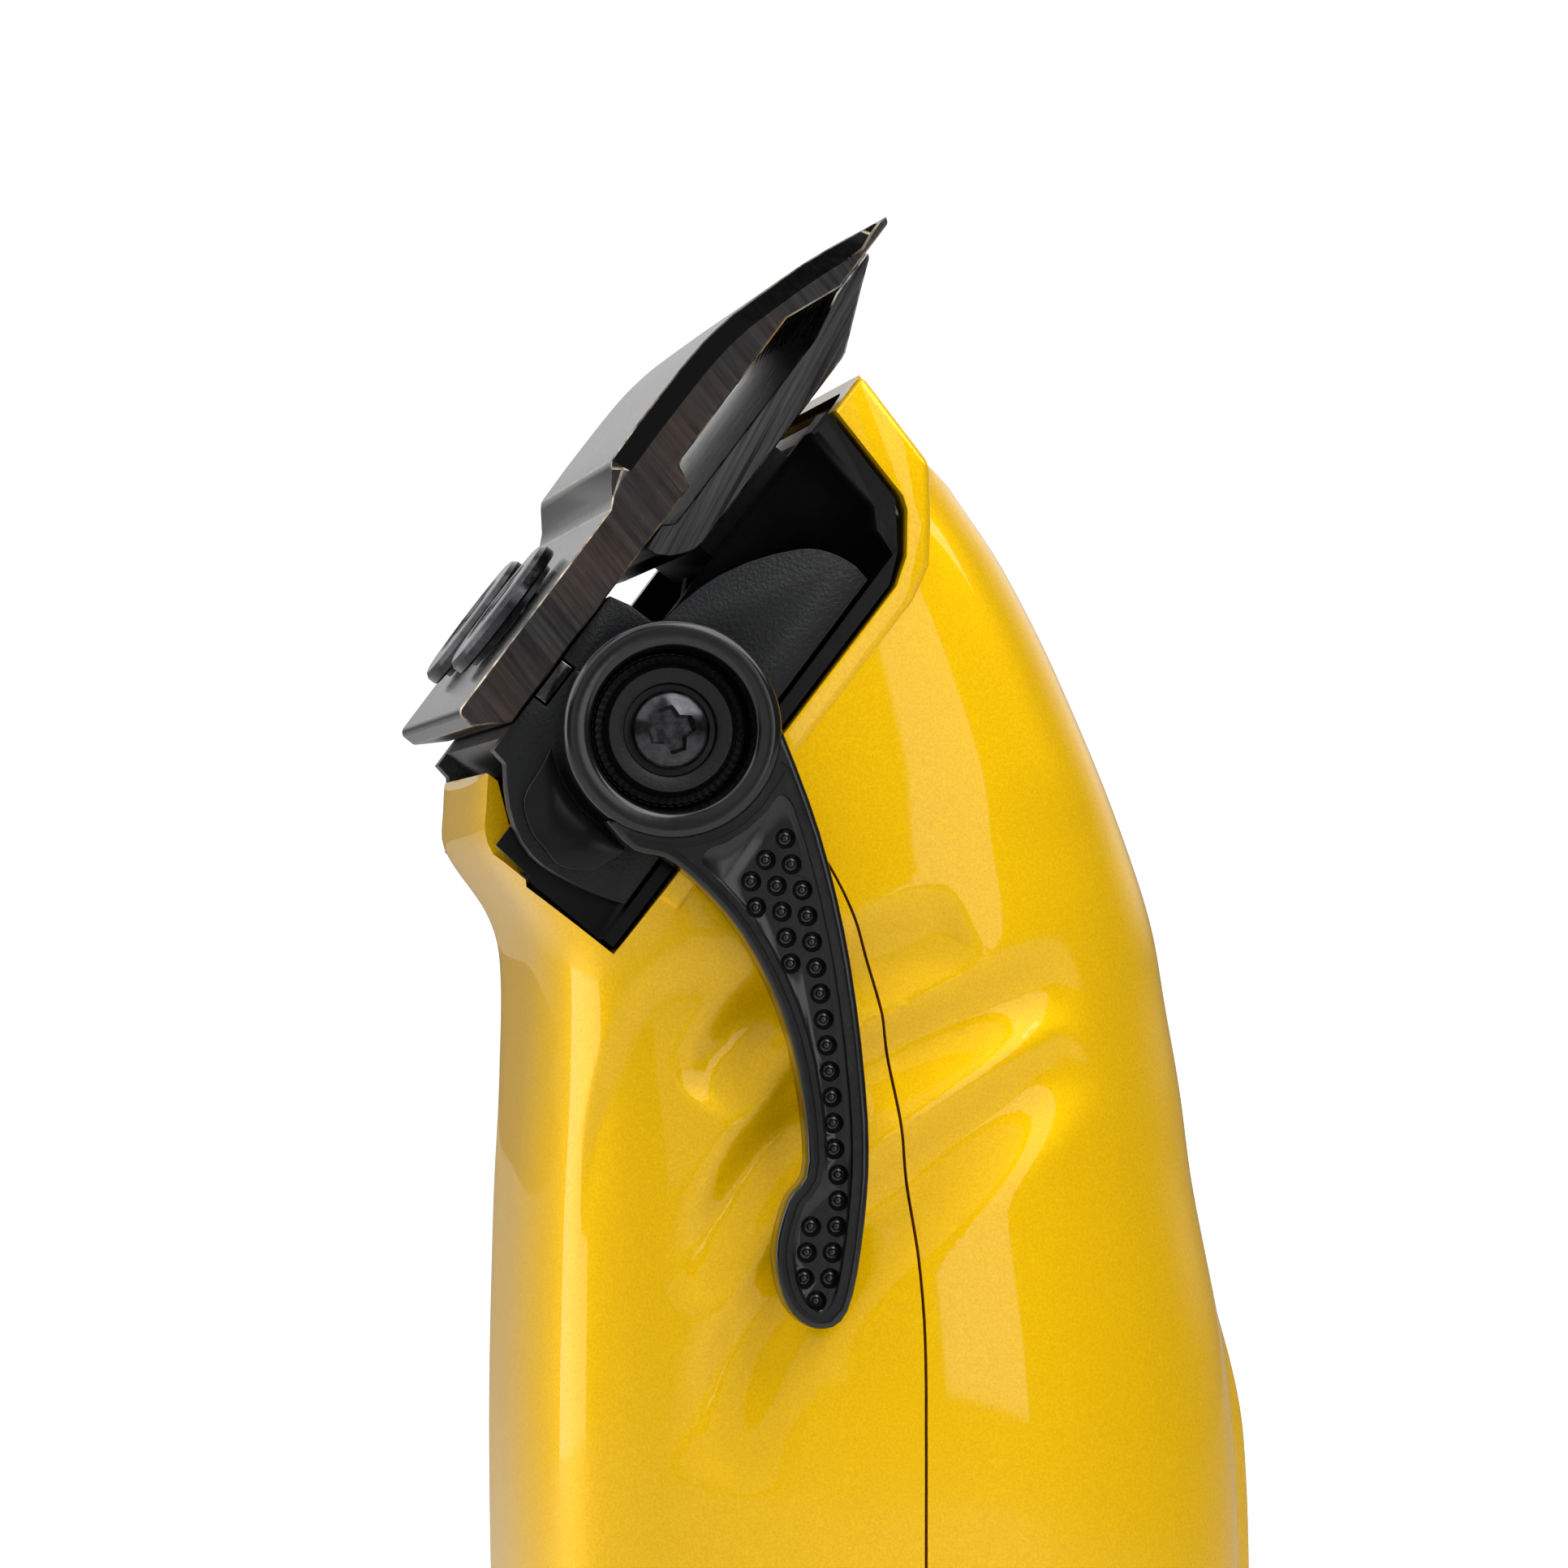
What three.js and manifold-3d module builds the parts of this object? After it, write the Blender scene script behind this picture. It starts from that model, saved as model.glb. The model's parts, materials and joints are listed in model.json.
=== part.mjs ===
// A cordless hair clipper with an adjustable taper blade, stood on its tail with the blades up.
// Millimetres, +Z up. The origin is the centre of the flat tail. +X is the thumb side (the back of the
// clipper), -X is the side that the blade screws are on, and the taper lever is on the -Y side.
//
// Every piece is drawn in the side view: x runs to the thumb side, y runs up the handle, and z runs out of
// the page to the lever side. The last group stands that drawing up. The head's pieces are drawn in the
// head's own view, which is turned so that x runs along the blades to their tips and y runs out of the
// blade's outer face, with its origin on the lever's pivot.
import * as THREE from "three";
import { mergeVertices } from "three/addons/utils/BufferGeometryUtils.js";
import Module from "manifold-3d";

const wasm = await Module();
wasm.setup();

// ---- driving dimensions ----
const handleHeight = 112; // the tail to the start of the head
const bodyHalfWidth = 24; // across the widest part of the handle
const bodyHalfDepth = 22.3; // front to back, at the widest part
const wall = 1.8; // housing wall
const seam = 0.15; // each half stops this far from the parting surface
const gap = 0.3; // between pieces that stand next to each other
const slideGap = 0.15; // between pieces that slide or are clamped together
const tailCapHeight = 6;
const bladeWidth = 46;
const bladeFlat = 2.9; // thickness of the fixed blade at its screws
const cutterWidth = 40;
const cutterStroke = 1.25; // to each side of the middle
const taperTravel = 1.3; // how far the lever moves the fixed blade
const taperSwing = 40; // degrees of lever for that travel
const hubRadius = 6.1;
const leverReach = 34.7; // the pivot to the end of the lever, down the handle
const motorRadius = 11;
const motorLength = 28;
const cellRadius = 9.2;
const cellLength = 65;
const switchTravel = 4;

// ---- places that follow from them ----
const headTilt = THREE.MathUtils.degToRad(53);
const pivot = new THREE.Vector2(-14.7, handleHeight + 15.7);
const bladePlane = 7.4; // height of the fixed blade's inner face above the pivot
const rimHalf = bladeWidth / 2 + 0.5; // outside of the rim round the mouth
const cheekOuter = rimHalf - 1.1; // outside of the blade carrier's cheeks
const cheekThickness = 2.8;
const cheekInner = cheekOuter - cheekThickness;
const frameOuter = cheekInner - 0.4; // outside of the chassis's side walls
const frameInner = frameOuter - 1.8;
const armInner = Math.max(bodyHalfWidth, rimHalf) + 1.2; // the lever arm clears the handle by this much
const armThickness = 3.2;
const armOuter = armInner + armThickness;
const hubTop = armOuter + 0.4;
const hubInner = cheekOuter + 0.4;

// ---- solids and booleans ----
function solid(geometry) {
  const bare = geometry.clone();
  bare.deleteAttribute("normal");
  bare.deleteAttribute("uv");
  const merged = mergeVertices(bare, 1e-4);
  const triVerts = new Uint32Array(merged.index.array);
  const vertProperties = merged.attributes.position.array;
  return new wasm.Manifold(new wasm.Mesh({ numProp: 3, vertProperties, triVerts }));
}

function geometryOf(manifold) {
  const mesh = manifold.getMesh();
  const position = new Float32Array(mesh.numVert * 3);
  for (let i = 0; i < mesh.numVert; i++) {
    position.set(mesh.vertProperties.subarray(i * mesh.numProp, i * mesh.numProp + 3), i * 3);
  }
  const geometry = new THREE.BufferGeometry();
  geometry.setAttribute("position", new THREE.BufferAttribute(position, 3));
  geometry.setIndex(new THREE.BufferAttribute(mesh.triVerts, 1));
  return geometry;
}

function join(first, ...others) {
  return geometryOf(others.reduce((sum, other) => sum.add(solid(other)), solid(first)));
}

function cut(first, ...others) {
  return geometryOf(others.reduce((rest, other) => rest.subtract(solid(other)), solid(first)));
}

const common = (a, b) => geometryOf(solid(a).intersect(solid(b)));

// ---- basic shapes, drawn in the side view and running along z ----
const outline = (...points) => new THREE.Shape(points.map(([x, y]) => new THREE.Vector2(x, y)));

function prism(shape, low, high, curveSegments = 10) {
  const settings = { depth: high - low, bevelEnabled: false, curveSegments };
  return new THREE.ExtrudeGeometry(shape, settings).translate(0, 0, low);
}

function block(x0, x1, y0, y1, z0, z1) {
  const geometry = new THREE.BoxGeometry(x1 - x0, y1 - y0, z1 - z0);
  return geometry.translate((x0 + x1) / 2, (y0 + y1) / 2, (z0 + z1) / 2);
}

function rod(radius, low, high, x = 0, y = 0, sides = 24) {
  const geometry = new THREE.CylinderGeometry(radius, radius, high - low, sides).rotateX(Math.PI / 2);
  return geometry.translate(x, y, (low + high) / 2);
}

// A turned piece: [radius, height] points from the axis round the section and back to the axis.
function turned(profile, sides = 28) {
  const points = profile.map(([r, h]) => new THREE.Vector2(r, h));
  return new THREE.LatheGeometry(points, sides).rotateX(Math.PI / 2);
}

function roundedRectangle(x0, x1, y0, y1, radius) {
  const shape = new THREE.Shape();
  shape.absarc(x1 - radius, y0 + radius, radius, -Math.PI / 2, 0);
  shape.absarc(x1 - radius, y1 - radius, radius, 0, Math.PI / 2);
  shape.absarc(x0 + radius, y1 - radius, radius, Math.PI / 2, Math.PI);
  shape.absarc(x0 + radius, y0 + radius, radius, Math.PI, 1.5 * Math.PI);
  return shape;
}

// Turns a shape drawn across the view, with its depth along z, so that its depth runs along another axis.
const alongX = (geometry) => geometry.rotateY(Math.PI / 2); // z to +x, x to -z
const alongY = (geometry) => geometry.rotateX(-Math.PI / 2); // z to +y, y to -z

// A cross recess for a driver, cut into a head whose top is at the given height.
function crossRecess(size, depth, top, x = 0, y = 0) {
  const arm = size * 0.3;
  const one = block(-size / 2, size / 2, -arm / 2, arm / 2, top - depth, top + 1);
  const two = block(-arm / 2, arm / 2, -size / 2, size / 2, top - depth, top + 1);
  return join(one, two).rotateZ(0.4).translate(x, y, 0);
}

const headMatrix = new THREE.Matrix4()
  .makeTranslation(pivot.x, pivot.y, 0)
  .multiply(new THREE.Matrix4().makeRotationZ(headTilt));
const fromHead = (geometry) => geometry.clone().applyMatrix4(headMatrix);

// ---- the handle's outer surface ----
// A smooth curve through [height, value] points, as a function of height.
function curveThrough(points) {
  const slope = (i) => {
    const before = points[Math.max(i - 1, 0)];
    const after = points[Math.min(i + 1, points.length - 1)];
    return (after[1] - before[1]) / (after[0] - before[0]);
  };
  return (height) => {
    const last = points.length - 2;
    let i = points.findIndex((point, k) => k <= last && height <= points[k + 1][0]);
    if (i < 0) i = last;
    const [h0, v0] = points[i];
    const [h1, v1] = points[i + 1];
    const span = h1 - h0;
    const t = Math.min(Math.max((height - h0) / span, 0), 1);
    const a = v0 * (1 + 2 * t) * (1 - t) ** 2 + v1 * (3 - 2 * t) * t ** 2;
    return a + span * (slope(i) * t * (1 - t) ** 2 - slope(i + 1) * (1 - t) * t ** 2);
  };
}

// Handle points are [share of the handle's height, share of the half depth or width]. Head points are
// [height above the handle, distance].
const handle = (points, unit) => points.map(([share, value]) => [share * handleHeight, value * unit]);
const head = (points) => points.map(([rise, value]) => [handleHeight + rise, value]);

const frontFace = curveThrough([
  ...handle([[0, -0.66], [0.07, -0.735], [0.2, -0.81], [0.4, -0.91], [0.6, -0.985]], bodyHalfDepth),
  ...handle([[0.75, -1.004], [0.88, -0.99], [0.96, -0.967]], bodyHalfDepth),
  ...head([[2.4, -21.5], [5.2, -22.3], [9.2, -24.9], [11.7, -25], [16, -24.8], [40, -24.8]]),
]);
const backFace = curveThrough([
  ...handle([[0, 0.64], [0.07, 0.72], [0.2, 0.82], [0.4, 0.925], [0.6, 0.99], [0.71, 0.998]], bodyHalfDepth),
  ...handle([[0.8, 0.965], [0.9, 0.87], [0.95, 0.834]], bodyHalfDepth),
  ...head([[-0.6, 17.6], [3.9, 16.6], [8.4, 15], [13.1, 13], [17.6, 11], [21.8, 9]]),
  ...head([[26.3, 6.5], [29.9, 4], [34, 1.2], [40, -3]]),
]);
const halfWidth = curveThrough([
  ...handle([[0, 0.66], [0.07, 0.75], [0.2, 0.84], [0.4, 0.93], [0.6, 0.985], [0.75, 1]], bodyHalfWidth),
  ...handle([[0.9, 0.993]], bodyHalfWidth),
  ...head([[2, rimHalf - 0.1], [12, rimHalf - 0.1], [40, rimHalf - 0.5]]),
]);
// 2 would be an ellipse; more is squarer. The front is squarer than the thumb side.
const frontSquareness = curveThrough([
  ...handle([[0, 3.2], [0.3, 4.6], [0.6, 6], [0.95, 6]], 1),
  ...head([[9, 6], [14, 5.5], [40, 5.5]]),
]);
const backSquareness = curveThrough([
  ...handle([[0, 3.2], [0.3, 3.2], [0.9, 3.1]], 1),
  ...head([[0, 3.4], [9, 4.4], [14, 5], [40, 5.5]]),
]);

// A solid between two heights, inside the handle's surface by the inset (or outside by a negative one).
function handleSolid(inset, low, high, rings = 16, sides = 32) {
  const position = [];
  const index = [];
  for (let ring = 0; ring <= rings; ring++) {
    const height = low + ((high - low) * ring) / rings;
    const middle = (frontFace(height) + backFace(height)) / 2;
    const depth = (backFace(height) - frontFace(height)) / 2 - inset;
    const width = halfWidth(height) - inset;
    for (let side = 0; side < sides; side++) {
      const angle = (2 * Math.PI * side) / sides;
      const power = Math.cos(angle) < 0 ? frontSquareness(height) : backSquareness(height);
      const round = (value) => Math.sign(value) * Math.abs(value) ** (2 / power);
      position.push(middle + depth * round(Math.cos(angle)), height, width * round(Math.sin(angle)));
      if (ring === rings) continue;
      const next = (side + 1) % sides;
      const a = ring * sides + side;
      const b = ring * sides + next;
      index.push(a, a + sides, b, b, a + sides, b + sides);
    }
  }
  const floor = position.length / 3;
  for (const height of [low, high]) position.push((frontFace(height) + backFace(height)) / 2, height, 0);
  for (let side = 0; side < sides; side++) {
    const next = (side + 1) % sides;
    index.push(floor, side, next, floor + 1, rings * sides + next, rings * sides + side);
  }
  const geometry = new THREE.BufferGeometry();
  geometry.setAttribute("position", new THREE.Float32BufferAttribute(position, 3));
  return geometry.setIndex(index);
}

// ---- materials ----
function finish(color, roughness, metalness) {
  return new THREE.MeshStandardMaterial({ color, roughness, metalness });
}
const yellowPaint = finish(0xe8b400, 0.25, 0.35);
const blackGloss = finish(0x0d0d0f, 0.2, 0);
const blackMatte = finish(0x17181a, 0.6, 0);
const darkSteel = finish(0x2c2a2c, 0.3, 1);
const brightSteel = finish(0xa8abb0, 0.3, 1);
const blackSteel = finish(0x111113, 0.3, 0.8);
const brass = finish(0xb08d3e, 0.35, 1);
const boardGreen = finish(0x0f5132, 0.5, 0);
const cellSleeve = finish(0x2a5fa8, 0.4, 0);
const wireRed = finish(0xa81e1e, 0.5, 0);
const lensClear = finish(0xdfe8ee, 0.1, 0);

const side = new THREE.Group(); // pieces drawn in the side view
const headGroup = new THREE.Group(); // pieces drawn in the head's view
headGroup.position.set(pivot.x, pivot.y, 0);
headGroup.rotation.z = headTilt;
side.add(headGroup);

function add(group, name, geometry, material) {
  const mesh = new THREE.Mesh(geometry, material);
  mesh.name = name;
  group.add(mesh);
}

// ---- the housing: two painted halves, joined by four screws ----
const wide = bodyHalfWidth + 10;
const noseEnd = 23.8; // how far the nose reaches along the blades
const mouthFloor = -5.8; // the mouth's lower edge, below the pivot
const mouthHeel = -12.1; // the mouth's heel, behind the pivot

// The rim that stands out round the upper part of the mouth.
function rim() {
  const shape = outline(
    [noseEnd, 3.3], [noseEnd - 1.7, -3], [noseEnd - 4.6, -5.3], [noseEnd - 6.5, mouthFloor - 0.8],
    [noseEnd - 8.7, mouthFloor - 1.3], [-8, mouthFloor - 1.3], [-8, 3.3],
  );
  return prism(shape, -rimHalf, rimHalf);
}

// The mouth, cut right across the housing. In the middle it leaves a lip behind the blade.
const lipHalf = cheekInner - 3.6;
const lipTop = 6.4;
const sideTop = 4.6; // the mouth's edge beside the lip
function mouth(inset) {
  const front = [
    [noseEnd - 2.6 - inset, 3.3], [noseEnd - 4.2 - inset, -2.9 + inset * 0.6],
    [noseEnd - 6.7 - inset * 0.6, -5 + inset], [noseEnd - 8.7, mouthFloor + inset],
    [mouthHeel + inset, mouthFloor + 0.2 + inset],
  ];
  const above = [[-40, 40], [noseEnd + 15, 40], [noseEnd + 15, 3.3]];
  const lip = [[0.3, 0.6], [2.8, 3.6], [4.4, 5.6], [4.4, lipTop]];
  const behindBlade = lip.map(([x, y]) => [mouthHeel + x + inset, y]);
  const middle = outline(...front, ...behindBlade, [-40, lipTop], ...above);
  const beside = outline(...front, [mouthHeel + 0.9 + inset, sideTop], [-40, sideTop], ...above);
  const edge = lipHalf + inset;
  return join(prism(middle, -wide, wide), prism(beside, edge, wide), prism(beside, -wide, -edge));
}

// What is past the nose's end face.
function pastNose() {
  const lower = noseEnd - 1.4;
  const shape = outline([noseEnd + 0.9, 6], [lower, -2.5], [lower, -30], [60, -30], [60, 6]);
  return fromHead(prism(shape, -wide, wide));
}

// The surface between the halves, as seen from the side; the front half lies to its left.
const partingX = 0.7;
const parting = [[0, -26], [-0.2, -17.5], [-1.7, -5.6], [-3.2, 2], [-5.6, 7.8], [-10.2, 14]];

// Everything to one side of that surface, up to a far edge: -1 is the front and 1 is the back.
function shellRegion(sign) {
  const shift = partingX + sign * seam;
  const knots = parting.map(([x, rise]) => new THREE.Vector2(shift + x, handleHeight + rise));
  const curve = new THREE.SplineCurve(knots).getPoints(16);
  const above = handleHeight + 60;
  const shape = new THREE.Shape([
    new THREE.Vector2(shift, -5), ...curve, new THREE.Vector2(curve[curve.length - 1].x, above),
    new THREE.Vector2(sign * 70, above), new THREE.Vector2(sign * 70, -5),
  ]);
  return prism(shape, -wide, wide);
}

// The raised pad on the back that holds the switch and the light.
const padRise = 0.8;
const padHalfWidth = 9;
const padLow = 0.36 * handleHeight;
const padHigh = 0.85 * handleHeight;
const switchY = 0.6 * handleHeight;
const slotHalfWidth = 2.9;
const knobHalfLength = 5.2;
const slotHalfLength = knobHalfLength + switchTravel / 2 + gap;
const lightY = padLow + 7;
const lightRadius = 1.5;

function pad() {
  const shape = roundedRectangle(-padHalfWidth, padHalfWidth, padLow, padHigh, padHalfWidth - 0.5);
  const column = alongX(prism(shape, bodyHalfDepth * 0.4, bodyHalfDepth + 5, 5));
  return common(handleSolid(-padRise, padLow - 5, padHigh + 5, 9), column);
}

function switchSlot() {
  const low = switchY - slotHalfLength;
  const shape = roundedRectangle(-slotHalfWidth, slotHalfWidth, low, low + 2 * slotHalfLength, 1.2);
  return alongX(prism(shape, bodyHalfDepth * 0.5, bodyHalfDepth + 5, 3));
}
const lightHole = () => alongX(rod(lightRadius + slideGap, 10, bodyHalfDepth + 5, 0, lightY, 16));

// The motor's axis leans towards the blades. The cell hangs below the motor's end bell.
const driveLean = THREE.MathUtils.degToRad(9.8);
const crank = new THREE.Vector2(9, -1.5).rotateAround(new THREE.Vector2(), headTilt).add(pivot);
const motorDrop = 19; // the crank to the motor's face
const endBellHeight = 3.2;
const driveLength = motorDrop + motorLength + endBellHeight;
const motorLow = crank.y - driveLength * Math.cos(driveLean) - (motorRadius - 1) * Math.sin(driveLean);
const cellHigh = motorLow - 3.8;
const cellLow = cellHigh - cellLength;

// Screws join the halves from the front; each is [name, height, distance from the middle].
const upperScrewY = cellHigh - 8;
const lowerScrewY = tailCapHeight + 9;
const screwReach = cellRadius + 3.8; // they pass beside the cell
const shellScrews = [
  ["shell_screw_upper_left", upperScrewY, screwReach],
  ["shell_screw_upper_right", upperScrewY, -screwReach],
  ["shell_screw_lower_left", lowerScrewY, screwReach],
  ["shell_screw_lower_right", lowerScrewY, -screwReach],
];
const bossRadius = 2.7;
const shankRadius = 1.2;
const screwHeadRadius = 2.2;
const screwHeadDepth = 7; // how far the head is sunk below the front face

function acrossX(radius, x0, x1, y, z, sides = 12) {
  return alongX(rod(radius, x0, x1, 0, 0, sides)).translate(0, y, z);
}

function housing() {
  const skin = handleSolid(0, tailCapHeight + gap, handleHeight + 38);
  const outside = join(cut(skin, pastNose()), fromHead(rim()), pad());
  const inside = handleSolid(wall, tailCapHeight - 1, handleHeight + 36);
  const bosses = shellScrews.map(([, y, z]) => {
    const room = handleSolid(wall / 2, y - 6, y + 6, 4);
    return common(acrossX(bossRadius, -40, 40, y, z), room);
  });
  return cut(join(cut(outside, inside), ...bosses), fromHead(mouth(0)));
}

const screwPockets = shellScrews.map(([, y, z]) => {
  const seat = frontFace(y) + screwHeadDepth;
  const pocket = acrossX(screwHeadRadius + gap, seat - 30, seat, y, z);
  return join(pocket, acrossX(shankRadius + 0.2, seat - 1, partingX + 9, y, z));
});
const wholeHousing = cut(housing(), ...screwPockets);
add(side, "front_shell", common(wholeHousing, shellRegion(-1)), yellowPaint);
const backShell = cut(common(wholeHousing, shellRegion(1)), switchSlot(), lightHole());
add(side, "back_shell", backShell, yellowPaint);

for (const [name, y, z] of shellScrews) {
  const seat = frontFace(y) + screwHeadDepth - slideGap;
  const head = acrossX(screwHeadRadius, seat - 1.8, seat, y, z, 16);
  const shank = acrossX(shankRadius, seat - 1, partingX + 7, y, z);
  const cross = alongX(crossRecess(2.6, 1.1, 0)).rotateY(Math.PI).translate(seat - 1.8, y, z);
  add(side, name, cut(join(head, shank), cross), blackSteel);
}

// ---- the tail cap and the charging socket ----
const socketHalfWidth = 4.6;
const socketHalfDepth = 1.65;
const socketHeight = 7;
const socketX = 6.5; // towards the circuit board from the middle of the tail
const socketShape = (grow, radius) => roundedRectangle(
  -socketHalfDepth - grow, socketHalfDepth + grow, -socketHalfWidth - grow, socketHalfWidth + grow, radius,
);

function tailCap() {
  const skin = handleSolid(0, 0, tailCapHeight, 3);
  const spigot = handleSolid(wall + gap, tailCapHeight - 1, tailCapHeight + 4, 1);
  const hollow = handleSolid(2 * wall + gap, 3, tailCapHeight + 6, 2);
  const hole = alongY(prism(socketShape(gap, 1.2), -1, 8, 4)).translate(socketX, 0, 0);
  return cut(join(skin, spigot), hollow, hole);
}
add(side, "tail_cap", tailCap(), blackMatte);

function socketShell() {
  const sunk = 0.4; // its mouth stands this far inside the tail
  const outer = prism(socketShape(0, 1.2), sunk, sunk + socketHeight, 4);
  const inner = prism(socketShape(-gap, 1), -1, socketHeight - 0.6, 4);
  return alongY(cut(outer, inner)).translate(socketX, 0, 0);
}
add(side, "charge_socket", socketShell(), brightSteel);
const tongue = block(socketX - 0.35, socketX + 0.35, 1.4, socketHeight - 0.75, -3.3, 3.3);
add(side, "charge_socket_tongue", tongue, blackMatte);

// ---- the battery and the circuit board ----
const cellX = -3;
const boardX = cellX + cellRadius + 5;
const boardThickness = 1.2;
const boardHalfWidth = 8;
const contactRise = 1; // the raised end contact
function batteryCell() {
  const shoulder = cellLength - contactRise;
  const contactRadius = cellRadius - 5;
  const profile = [
    [0, 0], [cellRadius, 0], [cellRadius, shoulder], [contactRadius, shoulder],
    [contactRadius, cellLength], [0, cellLength],
  ];
  return alongY(turned(profile, 32)).translate(cellX, cellLow, 0);
}
add(side, "battery_cell", batteryCell(), cellSleeve);

function batteryTab(low) {
  return block(cellX - 3, boardX - gap, low, low + 0.4, -2.5, 2.5);
}
add(side, "battery_tab_positive", batteryTab(cellHigh + slideGap), brightSteel);
add(side, "battery_tab_negative", batteryTab(cellLow - slideGap - 0.4), brightSteel);
const boardBack = boardX + boardThickness;
const board = block(boardX, boardBack, cellLow - 2, cellHigh + 3, -boardHalfWidth, boardHalfWidth);
add(side, "circuit_board", board, boardGreen);

// ---- the power switch ----
const knobX = backFace(switchY) + padRise; // the pad's surface at the switch
const skirtX = backFace(switchY) - wall - 2;
const knobGrooves = 5;
const knobGroovePitch = 1.7;
function switchKnob() {
  const restY = switchY - switchTravel / 2;
  const half = slotHalfWidth - gap;
  const shape = roundedRectangle(-half, half, restY - knobHalfLength, restY + knobHalfLength, 1);
  const cap = alongX(prism(shape, skirtX, knobX + 1.3, 3));
  const skirtReach = slotHalfLength + switchTravel / 2 + 1;
  const skirt = block(skirtX, skirtX + 0.8, restY - skirtReach, restY + skirtReach, -4.2, 4.2);
  const grooves = [];
  for (let i = 0; i < knobGrooves; i++) {
    const y = restY + (i - (knobGrooves - 1) / 2) * knobGroovePitch;
    grooves.push(block(knobX + 0.8, knobX + 2, y - 0.35, y + 0.35, -4, 4));
  }
  return cut(join(cap, skirt), ...grooves);
}
add(side, "switch_knob", switchKnob(), blackGloss);

function switchBody() {
  const low = boardBack + slideGap;
  return block(low, Math.max(skirtX - gap, low + 1), switchY - 6, switchY + 6, -3, 3);
}
add(side, "switch_body", switchBody(), blackMatte);

function indicatorLens() {
  const surface = backFace(lightY);
  const start = boardBack + gap;
  const guide = acrossX(lightRadius, start, surface + padRise - 0.1, lightY, 0, 16);
  const flange = acrossX(lightRadius + 0.8, start, surface - wall - gap, lightY, 0, 16);
  return join(guide, flange);
}
add(side, "indicator_lens", indicatorLens(), lensClear);

// ---- the drive: motor, cam sleeve and bearing ----
const driveLeaner = new THREE.Group();
driveLeaner.position.set(crank.x, crank.y, 0);
driveLeaner.rotation.z = driveLean;
side.add(driveLeaner);
const driveGroup = new THREE.Group(); // z runs along the shaft to the blades, from the crank pin's middle
driveGroup.rotation.x = -Math.PI / 2;
driveLeaner.add(driveGroup);

const shaftRadius = 1.15;
const motorFace = -motorDrop;
const bearingRadius = 2.5;
const bearingHalf = 1.25;
const sleeveRadius = 3.4;
const motorBack = motorFace - motorLength;
function motorCan() {
  const can = rod(motorRadius, motorBack, motorFace, 0, 0, 36);
  const spigot = rod(3, motorFace - 1, motorFace + 1.2);
  const bore = rod(shaftRadius + slideGap, motorBack + 2, motorFace + 3, 0, 0, 16);
  return cut(join(can, spigot), bore);
}
add(driveGroup, "motor_can", motorCan(), brightSteel);

function motorEndBell() {
  const radius = motorRadius - 1;
  const top = motorBack - slideGap;
  const low = motorBack - endBellHeight;
  return turned([[0, low], [radius - 2, low], [radius, low + 2], [radius, top], [0, top]]);
}
add(driveGroup, "motor_end_bell", motorEndBell(), blackMatte);
add(driveGroup, "motor_shaft", rod(shaftRadius, motorBack + 2.5, -bearingHalf - 3.4, 0, 0, 16), brightSteel);

// The sleeve fits over the shaft and carries a crank pin, offset across the clipper by the stroke.
const pinRadius = 1.2;
function camSleeve() {
  const sleeve = rod(sleeveRadius, motorFace + 2.2, -bearingHalf - slideGap - 0.4, 0, 0, 24);
  const bore = rod(shaftRadius + 0.1, motorFace, -bearingHalf - 3.2, 0, 0, 16);
  const pin = rod(pinRadius, -bearingHalf - 1, bearingHalf + 0.8, 0, cutterStroke, 16);
  return cut(join(sleeve, pin), bore);
}
add(driveGroup, "cam_sleeve", camSleeve(), brightSteel);

function camBearing() {
  const ring = rod(bearingRadius, -bearingHalf, bearingHalf, 0, cutterStroke, 24);
  return cut(ring, rod(pinRadius + slideGap, -5, 5, 0, cutterStroke, 16));
}
add(driveGroup, "cam_bearing", camBearing(), brass);

const bracketHalf = 13;
const bracketThickness = 1.8;
const motorScrewReach = 8;
function motorBracket() {
  const low = motorFace + slideGap;
  const plate = prism(roundedRectangle(-9, 9, -bracketHalf, bracketHalf, 4), low, low + bracketThickness, 4);
  const holes = [1, -1].map((s) => rod(1.3, low - 1, low + 4, 0, s * motorScrewReach, 12));
  return cut(plate, rod(sleeveRadius + 0.4, low - 1, low + 4), ...holes);
}
add(driveGroup, "motor_bracket", motorBracket(), blackMatte);
for (const [name, s] of [["motor_screw_left", 1], ["motor_screw_right", -1]]) {
  const y = s * motorScrewReach;
  const seat = motorFace + 2 * slideGap + bracketThickness;
  const top = seat + 1.3;
  const body = join(rod(2, seat, top, 0, y, 14), rod(1, motorFace + slideGap, seat + 0.5, 0, y, 10));
  add(driveGroup, name, cut(body, crossRecess(2.2, 0.7, top, 0, y)), brightSteel);
}

// A rubber band round the can keeps its hum out of the housing.
function motorDamper() {
  const band = rod(motorRadius + 1.8, motorFace - 17, motorFace - 8, 0, 0, 32);
  return cut(band, rod(motorRadius + slideGap, motorFace - 20, motorFace - 5, 0, 0, 36));
}
add(driveGroup, "motor_damper", motorDamper(), blackMatte);

// A wire from the board to the motor, at a distance from the middle.
function wire(z) {
  const curve = new THREE.CatmullRomCurve3([
    new THREE.Vector3(boardX - 0.6, cellHigh + 1.5, z),
    new THREE.Vector3(boardX - 3, cellHigh + 1.9, z),
    new THREE.Vector3(4.6, motorLow - 1, z * 0.6),
  ]);
  const section = new THREE.Shape().absarc(0, 0, 0.6, 0, 2 * Math.PI);
  return new THREE.ExtrudeGeometry(section, { extrudePath: curve, steps: 8, curveSegments: 4 });
}
add(side, "motor_wire_red", wire(2.5), wireRed);
add(side, "motor_wire_black", wire(-2.5), blackMatte);

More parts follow.
